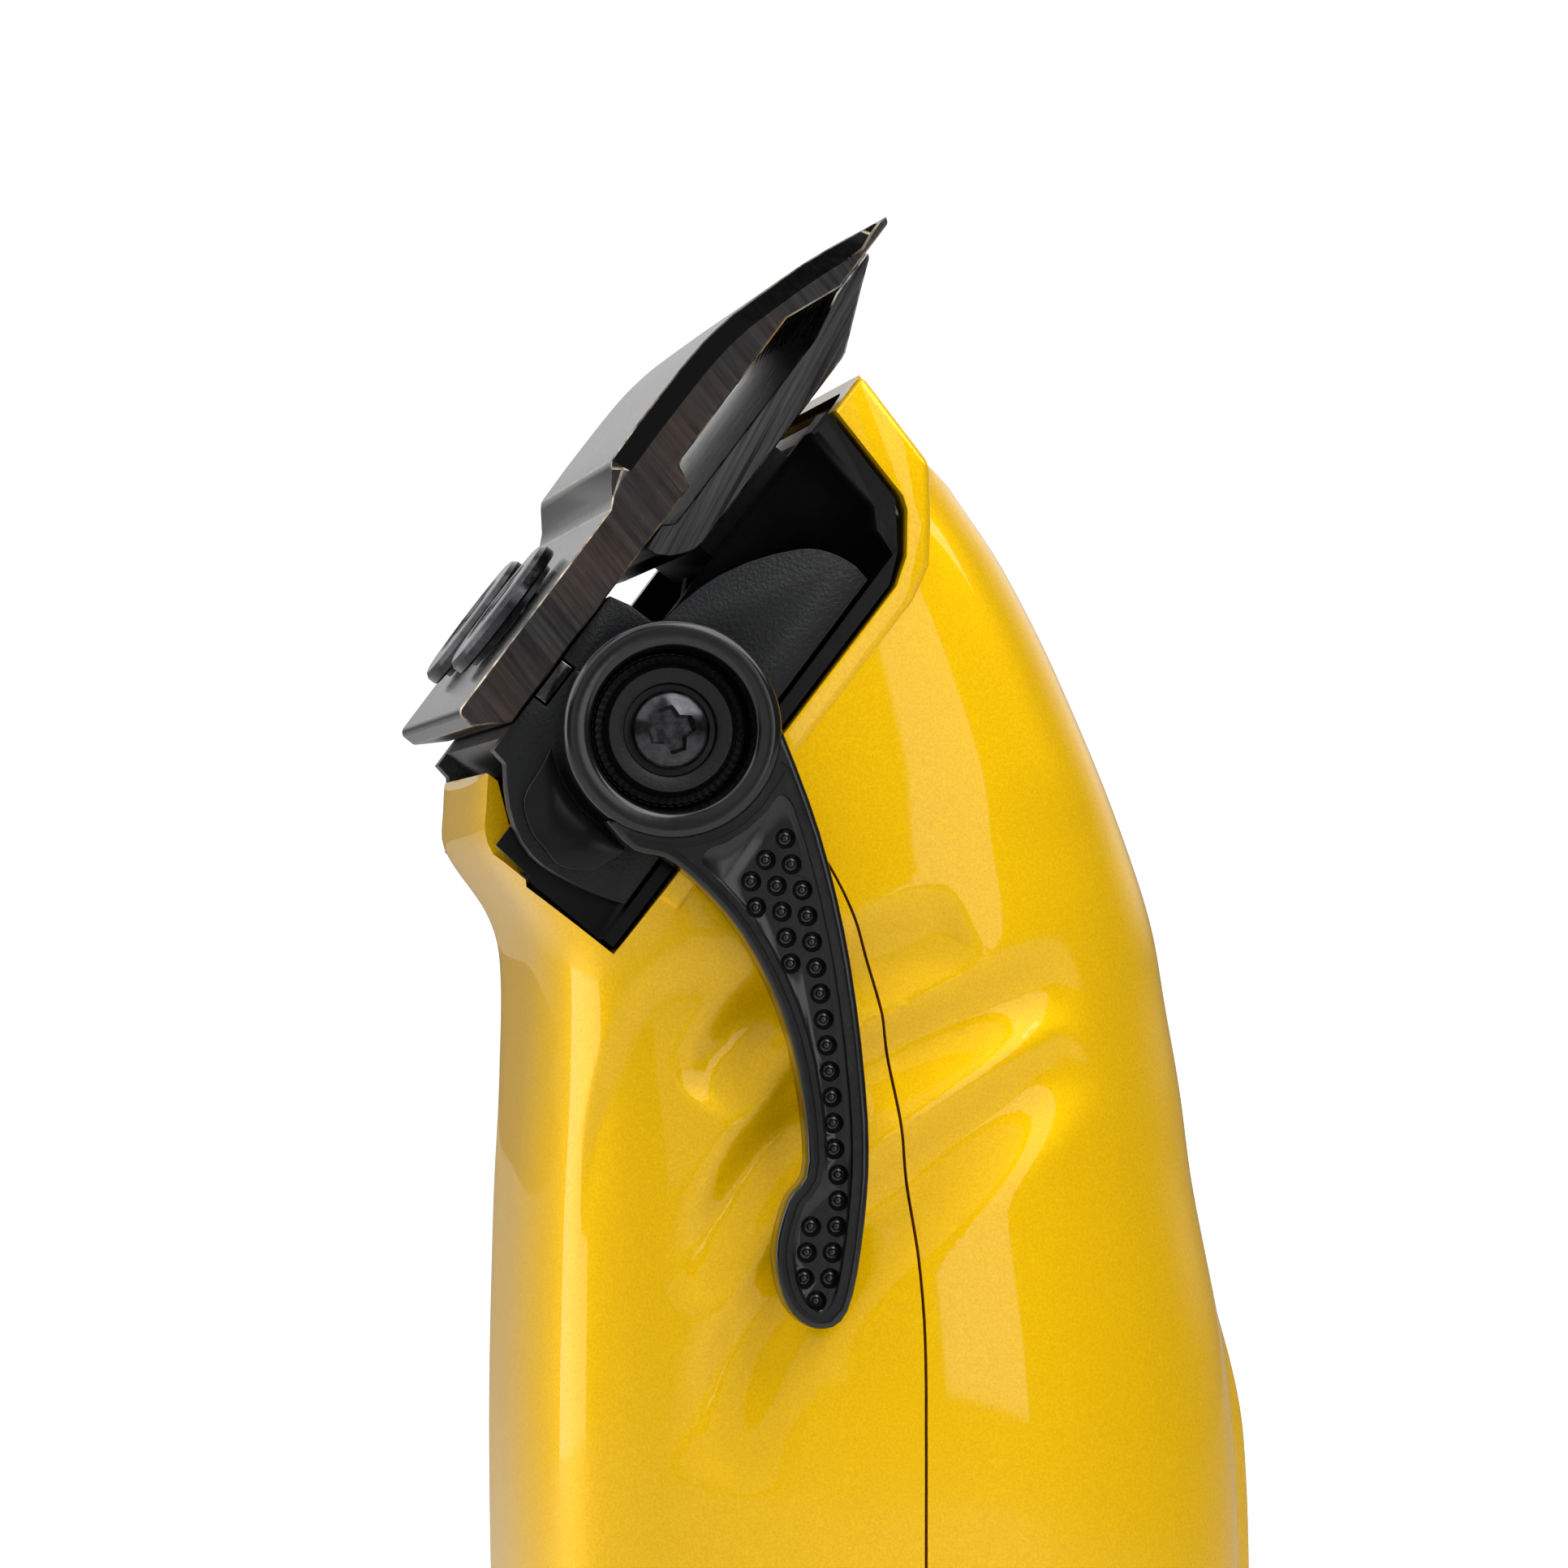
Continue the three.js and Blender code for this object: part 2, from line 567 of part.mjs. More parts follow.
// ---- the chassis: a black tub in the mouth that everything in the head is fixed to ----
const railTop = -4.6; // the carrier's cheeks run along this ledge
const tubFloor = mouthFloor + 0.6;
const wallTop = 3.6;
const shaftHalf = 2; // radius of the lever's shaft
function chassis() {
  const reach = noseEnd - 2.9;
  const slab = outline([-30, -30], [reach, -30], [reach, wallTop], [-30, wallTop]);
  const full = common(mouth(gap), prism(slab, -cheekOuter, cheekOuter));
  const room = block(-30, 30, tubFloor + 1, 20, -frameInner, frameInner);
  const inside = common(mouth(gap + 1.4), room);
  const ledge = outline(
    [mouthHeel + 0.2, railTop], [16.6, railTop], [17.2, -3], [noseEnd - 5.6, -2], [noseEnd - 4.4, 3.3],
    [noseEnd - 4.4, 9], [-20, 9], [-20, railTop],
  );
  const ledges = [prism(ledge, frameOuter, wide), prism(ledge, -wide, -frameOuter)];
  const lowWall = block(-13, 5.6, 1.6, 9, -frameInner - 0.5, frameInner + 0.5);
  const window = block(-5.5, 12, mouthFloor - 3, tubFloor + 2, -10, 10);
  const boss = rod(4.2, frameInner - 2.2, frameOuter - 0.5);
  const bore = rod(shaftHalf + slideGap, frameInner - 4, wide);
  const bosses = [boss, boss.clone().rotateX(Math.PI)];
  const bores = [bore, bore.clone().rotateX(Math.PI)];
  return cut(join(cut(full, inside, ...ledges), ...bosses), lowWall, window, ...bores);
}
add(headGroup, "chassis", chassis(), blackGloss);

// ---- the blade carrier: a saddle that slides along the chassis and holds the fixed blade ----
const carrierTop = bladePlane - slideGap;
const carrierBack = -6.8;
const carrierFront = 4.5;
const camRadius = 3.9;
const camOffset = taperTravel / (2 * Math.sin(THREE.MathUtils.degToRad(taperSwing / 2)));
const camAngle = THREE.MathUtils.degToRad(90 - taperSwing / 2);
const camU = camOffset * Math.cos(camAngle);
const camV = camOffset * Math.sin(camAngle);
const finTip = 14.7;

function cheekShape() {
  const shape = new THREE.Shape();
  shape.moveTo(-9.4, railTop + gap);
  shape.lineTo(finTip - 0.2, railTop + gap);
  shape.lineTo(finTip, -3.3);
  shape.quadraticCurveTo(finTip, -1.3, 13.5, 0);
  shape.quadraticCurveTo(9.9, 3.5, 5.3, 3.8);
  shape.lineTo(4.8, 4.4);
  shape.lineTo(4.8, 6);
  shape.lineTo(carrierFront, carrierTop);
  shape.lineTo(carrierBack, carrierTop);
  shape.lineTo(carrierBack - 0.2, 6.2);
  shape.quadraticCurveTo(-10.5, 3.6, -10.45, 0.8);
  shape.quadraticCurveTo(-10.3, -1.8, -9.4, railTop + gap);
  return shape;
}

const nutBack = -2.8;
const nutFront = -0.2;
const nutThickness = 0.8;
const bladeScrewU = 0.8;
const bladeScrewReach = 9.8;
const bladeScrewRadius = 2;
const nutTop = bladePlane - slideGap;
// Holes through the blade, the carrier and the nut plate for the two blade screws.
function bladeScrewHoles(clearance) {
  const hole = (s) => alongY(rod(bladeScrewRadius + clearance, 3, 15, bladeScrewU, s * bladeScrewReach, 18));
  return [hole(1), hole(-1)];
}
// A strip across the carrier, with a tab at each blade screw, all of it larger by the grow.
function nutPlate(grow, low, high) {
  const half = cheekOuter + grow;
  const back = nutBack - grow;
  const strip = block(back, nutFront + grow, low, high, -half, half);
  const tabs = [1, -1].map((s) => {
    const inner = s * bladeScrewReach - 4.5 - grow;
    return block(back, carrierFront - 0.6 + grow, low, high, inner, inner + 9 + 2 * grow);
  });
  return join(strip, ...tabs);
}

function bladeCarrier() {
  const shape = cheekShape();
  const cheeks = [prism(shape, cheekInner, cheekOuter, 6), prism(shape, -cheekOuter, -cheekInner, 6)];
  const bridgeHalf = cheekInner + 1;
  const bridge = block(carrierBack + 0.9, carrierFront, 4.4, carrierTop, -bridgeHalf, bridgeHalf);
  const footShape = outline(
    [-4.1, 4.7], [-8, 4.1], [-9.3, 2.6], [-9.7, 0.2], [-8.9, -1.3], [-7, -2.1], [-6.6, -0.2], [-5.4, 3.4],
  );
  const foot = prism(footShape, cheekOuter - 0.5, cheekOuter + 1.4);
  const camRoom = camRadius + slideGap;
  const camHole = rod(camRoom, cheekInner - 1, cheekOuter + 3, camU, camV, 32);
  const camRise = rod(camRoom, cheekInner - 1, cheekOuter + 3, camU, camOffset + 0.05, 32);
  const pinSlot = roundedRectangle(-3.05, 3.05 + taperTravel, -3.05, 3.05, 3);
  const nutRoom = nutPlate(slideGap, nutTop - nutThickness - slideGap, bladePlane + 2);
  return cut(
    join(...cheeks, bridge, foot), camHole, camRise, prism(pinSlot, -cheekOuter - 3, -cheekInner + 1, 6),
    rod(hubRadius + 0.5, cheekOuter, cheekOuter + 4, 0, 0, 36), ...bladeScrewHoles(0.2), nutRoom,
  );
}
add(headGroup, "blade_carrier", bladeCarrier(), blackMatte);
const bladeNutPlate = cut(nutPlate(0, nutTop - nutThickness, nutTop), ...bladeScrewHoles(0.1));
add(headGroup, "blade_nut_plate", bladeNutPlate, darkSteel);

// ---- the blades ----
const fixedTip = 32.1;
const cutterTip = 30.3;

const fixedPitch = 1.8; // spacing of the fixed blade's teeth
const fixedSlot = 0.8;
const cutterPitch = 2.3;
const cutterSlot = 1.2;

// Slots across the tips that leave a row of teeth, as many as the blade's half width takes.
function toothSlots(half, pitch, slot, root, tip, low, high) {
  const shape = outline([root, low], [tip, low], [tip, high], [root + 1.5, high]);
  const count = Math.floor((2 * half - 3) / pitch);
  const slots = [];
  for (let i = 0; i <= count; i++) {
    const z = (i - count / 2) * pitch;
    slots.push(prism(shape, z - slot / 2, z + slot / 2));
  }
  return slots;
}

function fixedBlade() {
  const top = bladePlane + bladeFlat;
  const ground = [[30, -1.55], [27.8, -0.7], [24, 0.6], [21, 1.4]];
  const shape = outline(
    [-4.9, bladePlane], [12.4, bladePlane], [12.8, bladePlane + 0.7], [13.4, bladePlane + 1.35],
    [24, bladePlane + 1.35], [27, bladePlane], [fixedTip - 0.4, bladePlane],
  );
  shape.lineTo(fixedTip, bladePlane + 0.35);
  shape.splineThru(ground.map(([x, y]) => new THREE.Vector2(x, top + y)));
  shape.lineTo(10.9, top + 1.6);
  shape.lineTo(10.3, top + 1.1);
  shape.lineTo(8.7, top + 0.05);
  shape.lineTo(-6, top);
  shape.lineTo(-6.5, top - 0.5);
  shape.lineTo(-6.5, top - 1.2);
  const half = bladeWidth / 2;
  const slots = toothSlots(half, fixedPitch, fixedSlot, 26.6, fixedTip + 3, 5, 14);
  return cut(prism(shape, -half, half, 3), ...bladeScrewHoles(0.2), ...slots);
}
add(headGroup, "fixed_blade", fixedBlade(), darkSteel);

// A big flat head on a step that clamps the blade.
function bladeScrew() {
  const seat = bladePlane + bladeFlat + slideGap;
  const top = seat + 1.4;
  const profile = [
    [0, seat], [3.7, seat], [3.7, seat + 0.35], [4.65, seat + 0.35], [4.65, top - 0.3], [4.35, top], [0, top],
  ];
  const body = join(turned(profile, 32), rod(bladeScrewRadius, bladePlane - 2.6, seat + 0.5, 0, 0, 16));
  return alongY(cut(body, crossRecess(4.4, 0.9, top)));
}
add(headGroup, "blade_screw_left", bladeScrew().translate(bladeScrewU, 0, bladeScrewReach), blackSteel);
add(headGroup, "blade_screw_right", bladeScrew().translate(bladeScrewU, 0, -bladeScrewReach), blackSteel);

const cutterTop = bladePlane - 0.2;
const cutterBack = bladePlane - 2.8;
const yokeScrewU = 15.8;
const yokeScrewReach = 10.2;
function yokeScrewHoles() {
  return [1, -1].map((s) => alongY(rod(1.25, 0, 15, yokeScrewU, s * yokeScrewReach, 14)));
}

function cutterBlade() {
  const shape = outline(
    [cutterTip, cutterTop], [cutterTip - 1.8, cutterTop - 0.9], [24.7, cutterBack], [10.6, cutterBack],
    [9.7, cutterBack + 0.2], [8.7, cutterBack + 1.1], [8.2, cutterTop], [10.2, cutterTop],
    [10.5, cutterTop - 0.55], [24.4, cutterTop - 0.55], [27.2, cutterTop],
  );
  const half = cutterWidth / 2;
  const slots = toothSlots(half, cutterPitch, cutterSlot, 25.6, cutterTip + 3, 3, 9);
  return cut(prism(shape, -half, half), ...yokeScrewHoles(), ...slots);
}
add(headGroup, "cutter_blade", cutterBlade(), darkSteel);

// The yoke is screwed under the cutter; its two prongs straddle the crank's bearing.
const yokeTop = cutterBack - slideGap;
const yokeLow = 2.5;
const prongInner = bearingRadius + 2 * cutterStroke + gap;
const prongOuter = prongInner + 2.4;
function driveYoke() {
  const plate = block(11, 18.6, yokeLow, yokeTop, -13, 13);
  const shape = outline([6.6, -3.4], [10.6, -3.4], [14.6, 1.6], [14.6, 3], [11.8, 3], [6.6, 0.4]);
  const prongs = [prism(shape, prongInner, prongOuter), prism(shape, -prongOuter, -prongInner)];
  return cut(join(plate, ...prongs), ...yokeScrewHoles());
}
add(headGroup, "drive_yoke", driveYoke(), blackMatte);
for (const [name, s] of [["yoke_screw_left", 1], ["yoke_screw_right", -1]]) {
  const seat = slideGap - yokeLow;
  const top = seat + 1.2;
  const body = join(rod(2.1, seat, top, 0, 0, 14), rod(1.1, 0.7 - cutterTop, seat + 0.6, 0, 0, 12));
  const screw = cut(body, crossRecess(2.4, 0.7, top)).rotateX(Math.PI / 2);
  add(headGroup, name, screw.translate(yokeScrewU, 0, s * yokeScrewReach), brightSteel);
}

// A bent leaf in the tub presses the yoke, and the cutter with it, against the fixed blade.
function tensionSpring() {
  const low = tubFloor + 1 + slideGap;
  const high = yokeLow - slideGap;
  const radius = (high - low) / 2;
  const leaf = 0.5; // its thickness
  const bendX = 13.6;
  const endX = 13;
  const shape = new THREE.Shape();
  shape.moveTo(endX, low);
  shape.absarc(bendX, low + radius, radius, -Math.PI / 2, Math.PI / 2);
  shape.lineTo(endX, high);
  shape.lineTo(endX, high - leaf);
  shape.absarc(bendX, low + radius, radius - leaf, Math.PI / 2, -Math.PI / 2, true);
  shape.lineTo(endX, low + leaf);
  return prism(shape, -4, 4, 10);
}
add(headGroup, "tension_spring", tensionSpring(), brightSteel);

// ---- the taper lever and its cam ----
// The lever's edge, from where it leaves the hub round its end and back; [across, down] from the pivot.
const stretch = leverReach / 34.7;
const atLever = ([x, y]) => new THREE.Vector2(x, y * stretch);
const armEdge = [
  [-3.9, -5.3], [-2.2, -7], [0.2, -7.8], [4.1, -11.9], [6.9, -18], [7.9, -25], [6.7, -27.3], [6, -30.4],
  [6.7, -33.4], [8.4, -34.7], [10.2, -33.7], [11.2, -28.5], [11.4, -22.6], [10.4, -13.7], [8.6, -6],
  [6.05, 0.8],
].map(atLever);
const troughEdge = [
  [1.5, -8.8], [5, -12], [7.9, -18], [8.9, -25.4], [7.7, -28], [7, -30.6], [7.6, -33], [8.6, -33.7],
  [9.5, -32.8], [10.2, -28.3], [10.4, -22.6], [9.4, -13.9], [7.4, -6], [5.5, -5.4], [1.5, -7.4],
].map(atLever);

const hubFloor = armInner + 0.6; // the bottom of the cup that the screw sits in
const cupRadius = hubRadius - 1.25;
const screwHole = () => rod(1.7, hubInner - 1, hubTop, 0, 0, 16);
function taperLever() {
  const arm = new THREE.Shape(new THREE.SplineCurve(armEdge).getPoints(34));
  const troughShape = new THREE.Shape(new THREE.SplineCurve(troughEdge).getPoints(26));
  const besideHub = rod(hubRadius + 0.5, armOuter - 2, armOuter + 2, 0, 0, 36);
  const trough = cut(prism(troughShape, armOuter - 0.5, armOuter + 1), besideHub);
  const roomForHub = rod(hubRadius - 2, armInner - 1, armOuter + 1);
  const hub = turned([
    [0, hubInner], [-mouthFloor - 0.9, hubInner], [hubRadius - 0.3, armInner], [hubRadius, armInner + 0.4],
    [hubRadius, hubTop - 0.5], [hubRadius - 0.4, hubTop], [hubRadius - 0.9, hubTop],
    [cupRadius, hubTop - 0.4], [cupRadius, hubFloor], [0, hubFloor],
  ], 32);
  return cut(join(cut(prism(arm, armInner, armOuter), trough, roomForHub), hub), screwHole());
}
const leverGroup = new THREE.Group(); // drawn in the side view, with its origin on the pivot
leverGroup.position.set(pivot.x, pivot.y, 0);
side.add(leverGroup);
add(leverGroup, "taper_lever", taperLever(), blackGloss);

// A screw whose head is a low dome, from its shank's end to the head's seat and top.
function panScrew(shankEnd, seat, rise) {
  const top = seat + rise;
  const profile = [[0, seat], [2.2, seat], [2.2, top - rise / 2], [1.6, top - 0.15], [0, top]];
  const body = join(turned(profile, 24), rod(1.1, shankEnd, seat + 0.5, 0, 0, 12));
  return cut(body, crossRecess(2.9, 0.9, top - 0.15));
}

const bossLow = hubFloor + slideGap;
const bossTop = bossLow + 1.2;
const bossSeat = bossTop - 0.6;
function leverBoss() {
  const disc = turned([[0, bossLow], [3.9, bossLow], [3.9, bossTop - 0.3], [3.5, bossTop], [0, bossTop]], 36);
  return cut(disc, screwHole(), rod(2.6, bossSeat, bossTop + 1));
}
add(leverGroup, "lever_boss", leverBoss(), blackMatte);
add(leverGroup, "lever_screw", panScrew(cheekInner + 1, bossSeat + slideGap, 1.45), blackSteel);

// The cam turns in the carrier's cheek, and its shaft in the chassis.
const clipW = frameInner - 2.2 - slideGap;
function leverCam() {
  const disc = rod(camRadius, cheekInner - 0.2, hubInner - slideGap, camU, camV, 28);
  const shaft = rod(shaftHalf, clipW - 2, cheekInner - 0.1, 0, 0, 20);
  const groove = cut(rod(shaftHalf + 1, clipW - 1.4, clipW - 0.8), rod(shaftHalf - 0.5, clipW - 3, clipW));
  return cut(join(disc, shaft), groove, rod(1.25, cheekInner - 0.5, 40, 0, 0, 12));
}
add(headGroup, "lever_cam", leverCam(), brightSteel);

function washer(radius, bore, low, high) {
  return cut(rod(radius, low, high, 0, 0, 20), rod(bore, low - 1, high + 1, 0, 0, 20));
}
const waveWasher = washer(3.6, shaftHalf + slideGap, clipW - 0.5, clipW);
add(headGroup, "cam_wave_washer", waveWasher, brightSteel);
const clipRing = washer(3.2, shaftHalf - 0.4, clipW - 1.3, clipW - 0.9);
add(headGroup, "cam_clip", cut(clipRing, block(0, 5, -1, 1, 0, 30)), darkSteel);

// ---- the plain guide on the other side: a shouldered pin with a cap, held by a screw ----
function guidePin() {
  const top = hubInner + 1.5;
  const cap = turned([[0, hubInner], [4.6, hubInner], [4.6, top - 0.5], [4.1, top], [0, top]], 32);
  const shoulder = rod(2.9, frameOuter + slideGap, hubInner + 0.5);
  const tail = rod(shaftHalf, frameInner - 2, frameOuter + 1, 0, 0, 20);
  const recess = rod(2.5, top - 0.8, 40, 0, 0, 20);
  return cut(join(cap, shoulder, tail), recess, rod(1.3, frameInner, 40, 0, 0, 12)).rotateX(Math.PI);
}
add(headGroup, "guide_pin", guidePin(), blackGloss);
const guideScrew = panScrew(frameInner + 0.5, hubInner + 0.7 + slideGap, 1.2).rotateX(Math.PI);
add(headGroup, "guide_screw", guideScrew, blackSteel);

// Stands the drawing up: its y becomes +Z and its z becomes -Y.
side.rotation.x = Math.PI / 2;
const clipper = new THREE.Group();
clipper.add(side);
export default clipper;
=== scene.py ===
"""A cordless hair clipper with a taper lever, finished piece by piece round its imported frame."""
import json
import math

import bmesh
import bpy
from bpy.props import FloatProperty, FloatVectorProperty, IntProperty, PointerProperty
from bpy.types import Operator, Panel, PropertyGroup
from mathutils import Matrix, Vector


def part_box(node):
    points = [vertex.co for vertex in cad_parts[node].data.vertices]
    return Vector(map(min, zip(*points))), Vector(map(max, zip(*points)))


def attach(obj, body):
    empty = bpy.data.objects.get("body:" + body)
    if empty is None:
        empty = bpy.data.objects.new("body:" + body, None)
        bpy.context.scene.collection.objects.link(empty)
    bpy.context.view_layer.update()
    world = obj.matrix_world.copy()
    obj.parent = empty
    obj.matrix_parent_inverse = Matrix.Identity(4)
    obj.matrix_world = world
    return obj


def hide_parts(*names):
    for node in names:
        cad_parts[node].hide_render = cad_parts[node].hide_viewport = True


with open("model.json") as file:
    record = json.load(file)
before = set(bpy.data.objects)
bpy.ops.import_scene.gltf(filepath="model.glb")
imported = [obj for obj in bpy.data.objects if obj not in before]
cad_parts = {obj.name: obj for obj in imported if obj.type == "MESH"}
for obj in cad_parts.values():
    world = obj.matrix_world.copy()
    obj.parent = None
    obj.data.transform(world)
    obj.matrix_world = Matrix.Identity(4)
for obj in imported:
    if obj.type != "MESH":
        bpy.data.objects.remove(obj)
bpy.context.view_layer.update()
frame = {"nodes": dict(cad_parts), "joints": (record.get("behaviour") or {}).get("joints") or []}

bl_info = {
    "name": "Hair Clipper",
    "version": (1, 0, 0),
    "blender": (4, 5, 0),
    "location": "3D View > Sidebar > Clipper",
    "description": "Makes the finished pieces of a cordless hair clipper",
    "category": "Object",
}

# ---- places that come from the frame ----
MM = 0.001
JOINTS = {joint["name"]: joint for joint in frame["joints"]}
PIVOT = Vector(JOINTS["lever_turn"]["pos_m"]) / MM
ALONG = Vector(JOINTS["carrier_slide"]["axis"]).normalized()  # along the blades, to their tips
OUT = Vector((-ALONG.z, 0, ALONG.x))  # out of the fixed blade's face
TO_LEVER = Vector((0, -1, 0))


def placed(right, up, towards, origin):
    """The matrix from a drawing in millimetres to the frame in metres."""
    turn = Matrix((right, up, towards)).transposed().to_4x4()
    return Matrix.Scale(MM, 4) @ Matrix.Translation(origin) @ turn


SIDE = placed(Vector((1, 0, 0)), Vector((0, 0, 1)), TO_LEVER, Vector())
LEVER = placed(Vector((1, 0, 0)), Vector((0, 0, 1)), TO_LEVER, Vector((PIVOT.x, 0, PIVOT.z)))
HEAD = placed(ALONG, OUT, TO_LEVER, Vector((PIVOT.x, 0, PIVOT.z)))
HEAD_IN_SIDE = SIDE.inverted() @ HEAD
PIVOT_RISE = 15.7  # from the top of the handle to the lever's pivot
HANDLE_HEIGHT = PIVOT.z - PIVOT_RISE
RIM_HALF = 23.5  # half the width of the band round the mouth


def node_size(node, axis):
    """A CAD node's length along an axis, in millimetres."""
    low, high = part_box(node)
    return (high[axis] - low[axis]) / MM


# ---- the sizes and colours that a user would change ----
class ClipperHousing(PropertyGroup):
    """The two painted halves of the handle."""

    wall: FloatProperty(
        name="Wall", description="Thickness of the shells, mm", default=2.3)
    seam: FloatProperty(
        name="Seam", description="Half of the gap between the shells, mm", default=0.09)
    flute_depth: FloatProperty(
        name="Flute depth", description="Depth of the grip flutes, mm", default=1.35)
    flute_width: FloatProperty(
        name="Flute width", description="Half width of a flute, mm", default=3.5)
    panel_depth: FloatProperty(
        name="Panel depth", description="How deep the side panels are sunk, mm", default=0.55)
    sides: IntProperty(
        name="Sides", description="Facets round the handle", default=300)
    rings: IntProperty(
        name="Rings", description="Facets along the handle", default=240)


class ClipperLever(PropertyGroup):
    """The taper lever and what turns with it."""

    ring_radius: FloatProperty(
        name="Ring radius", description="Outside of the lever's ring, mm", default=6.35)
    cup_radius: FloatProperty(
        name="Cup radius", description="Inside of the lever's ring, mm", default=4.8)
    ridge: FloatProperty(
        name="Ridge", description="Width of each ridge round the arm, mm", default=0.3)
    floor_depth: FloatProperty(
        name="Floor depth", description="Depth of the arm's dimpled floor, mm", default=0.45)
    dimple_radius: FloatProperty(
        name="Dimple radius", description="Radius of a grip dimple, mm", default=0.62)
    dimple_pitch: FloatProperty(
        name="Dimple pitch", description="Step between dimples, mm", default=1.5)


class ClipperBlades(PropertyGroup):
    """The fixed blade and the cutter."""

    tooth_pitch: FloatProperty(
        name="Tooth pitch", description="Fixed blade's tooth spacing, mm", default=1.55)
    cutter_pitch: FloatProperty(
        name="Cutter pitch", description="Cutter's tooth spacing, mm", default=2.1)
    edge: FloatProperty(
        name="Edge", description="Ground edge on the blades, mm", default=0.09)
    strip_width: FloatProperty(
        name="Strip width", description="Width of the ground side strips, mm", default=0.5)
    strip_drop: FloatProperty(
        name="Strip drop", description="Fall of the ground side strips, mm", default=1.3)


class ClipperColours(PropertyGroup):
    """Base colours of the finishes."""

    paint: FloatVectorProperty(
        name="Paint", description="Handle paint", subtype="COLOR", default=(0.78, 0.43, 0.0))
    paint_light: FloatVectorProperty(
        name="Paint flake", description="Metal flake in the paint", subtype="COLOR", default=(0.9, 0.55, 0.0))
    black: FloatVectorProperty(
        name="Black", description="Black mouldings", subtype="COLOR", default=(0.003, 0.003, 0.0035))
    steel: FloatVectorProperty(
        name="Blade steel", description="Plated blade steel", subtype="COLOR", default=(0.05, 0.048, 0.048))


# ---- drawing helpers, in millimetres ----
def arc(x, y, radius, start, end, steps):
    """Points on an arc, its angles in degrees."""
    angles = [math.radians(start + (end - start) * i / steps) for i in range(steps + 1)]
    return [(x + radius * math.cos(a), y + radius * math.sin(a)) for a in angles]


def smooth_line(points, steps):
    """A curve through points, as a list of that many steps per span."""
    line = []
    for i in range(len(points) - 1):
        before = Vector(points[max(i - 1, 0)])
        start = Vector(points[i])
        end = Vector(points[i + 1])
        after = Vector(points[min(i + 2, len(points) - 1)])
        for step in range(steps):
            t = step / steps
            slope_in = (end - before) / 2
            slope_out = (after - start) / 2
            a = start * (2 * t**3 - 3 * t**2 + 1) + slope_in * (t**3 - 2 * t**2 + t)
            b = end * (3 * t**2 - 2 * t**3) + slope_out * (t**3 - t**2)
            line.append(tuple(a + b))
    return line + [tuple(points[-1])]


def curve_through(points):
    """A smooth function through (place, value) points."""
    def slope(i):
        before = points[max(i - 1, 0)]
        after = points[min(i + 1, len(points) - 1)]
        return (after[1] - before[1]) / (after[0] - before[0])

    def value(place):
        i = 0
        while i < len(points) - 2 and place > points[i + 1][0]:
            i += 1
        (p0, v0), (p1, v1) = points[i], points[i + 1]
        span = p1 - p0
        t = min(max((place - p0) / span, 0), 1)
        base = v0 * (1 + 2 * t) * (1 - t) ** 2 + v1 * (3 - 2 * t) * t**2
        return base + span * (slope(i) * t * (1 - t) ** 2 - slope(i + 1) * (1 - t) * t**2)

    return value


def smoothstep(low, high, value):
    """0 below low and 1 above high, with a soft turn between."""
    t = min(max((value - low) / (high - low), 0), 1)
    return t * t * (3 - 2 * t)


# ---- modelling helpers ----
def bevel(shape, edges, width, segments=2):
    """Rounds edges."""
    bmesh.ops.bevel(
        shape, geom=edges, offset=width, offset_type="OFFSET", segments=segments, profile=0.5,
        affect="EDGES", clamp_overlap=True, material=-1)


def edges_sharper(shape, degrees):
    """Edges whose two faces meet at more than an angle."""
    least = math.radians(degrees)
    return [e for e in shape.edges if len(e.link_faces) == 2 and e.calc_face_angle(0) > least]


def raise_face(shape, face, step):
    """Makes a solid of one face by extruding it."""
    region = bmesh.ops.extrude_face_region(shape, geom=[face])["geom"]
    verts = [v for v in region if isinstance(v, bmesh.types.BMVert)]
    bmesh.ops.translate(shape, verts=verts, vec=step)
    bmesh.ops.recalc_face_normals(shape, faces=shape.faces)


def prism(points, low, high, soften=0.0, segments=2, corner=30):
    """An outline run from low to high along z, with its edges rounded."""
    shape = bmesh.new()
    face = shape.faces.new([shape.verts.new((x, y, low)) for x, y in points])
    raise_face(shape, face, (0, 0, high - low))
    if soften:
        bevel(shape, edges_sharper(shape, corner), soften, segments)
    return shape


def turned(profile, steps=64, x=0.0, y=0.0):
    """A piece turned round z, from (radius, height) points that start and end on its axis."""
    shape = bmesh.new()
    verts = [shape.verts.new((r, 0, h)) for r, h in profile]
    edges = [shape.edges.new(pair) for pair in zip(verts, verts[1:])]
    bmesh.ops.spin(
        shape, geom=verts + edges, cent=(0, 0, 0), axis=(0, 0, 1), angle=2 * math.pi, steps=steps,
        use_merge=True)
    bmesh.ops.remove_doubles(shape, verts=shape.verts, dist=1e-4)
    bmesh.ops.recalc_face_normals(shape, faces=shape.faces)
    bmesh.ops.translate(shape, verts=shape.verts, vec=(x, y, 0))
    return shape


def rod(radius, low, high, x=0.0, y=0.0, steps=32):
    """A plain round bar along z."""
    return turned([(0, low), (radius, low), (radius, high), (0, high)], steps, x, y)


def moved(shape, matrix):
    """The same shape, turned and moved."""
    bmesh.ops.transform(shape, matrix=matrix, verts=shape.verts)
    return shape


def gathered(*shapes):
    """Several shapes as one."""
    whole = bmesh.new()
    for shape in shapes:
        mesh = bpy.data.meshes.new("gathered")
        shape.to_mesh(mesh)
        shape.free()
        whole.from_mesh(mesh)
        bpy.data.meshes.remove(mesh)
    return whole


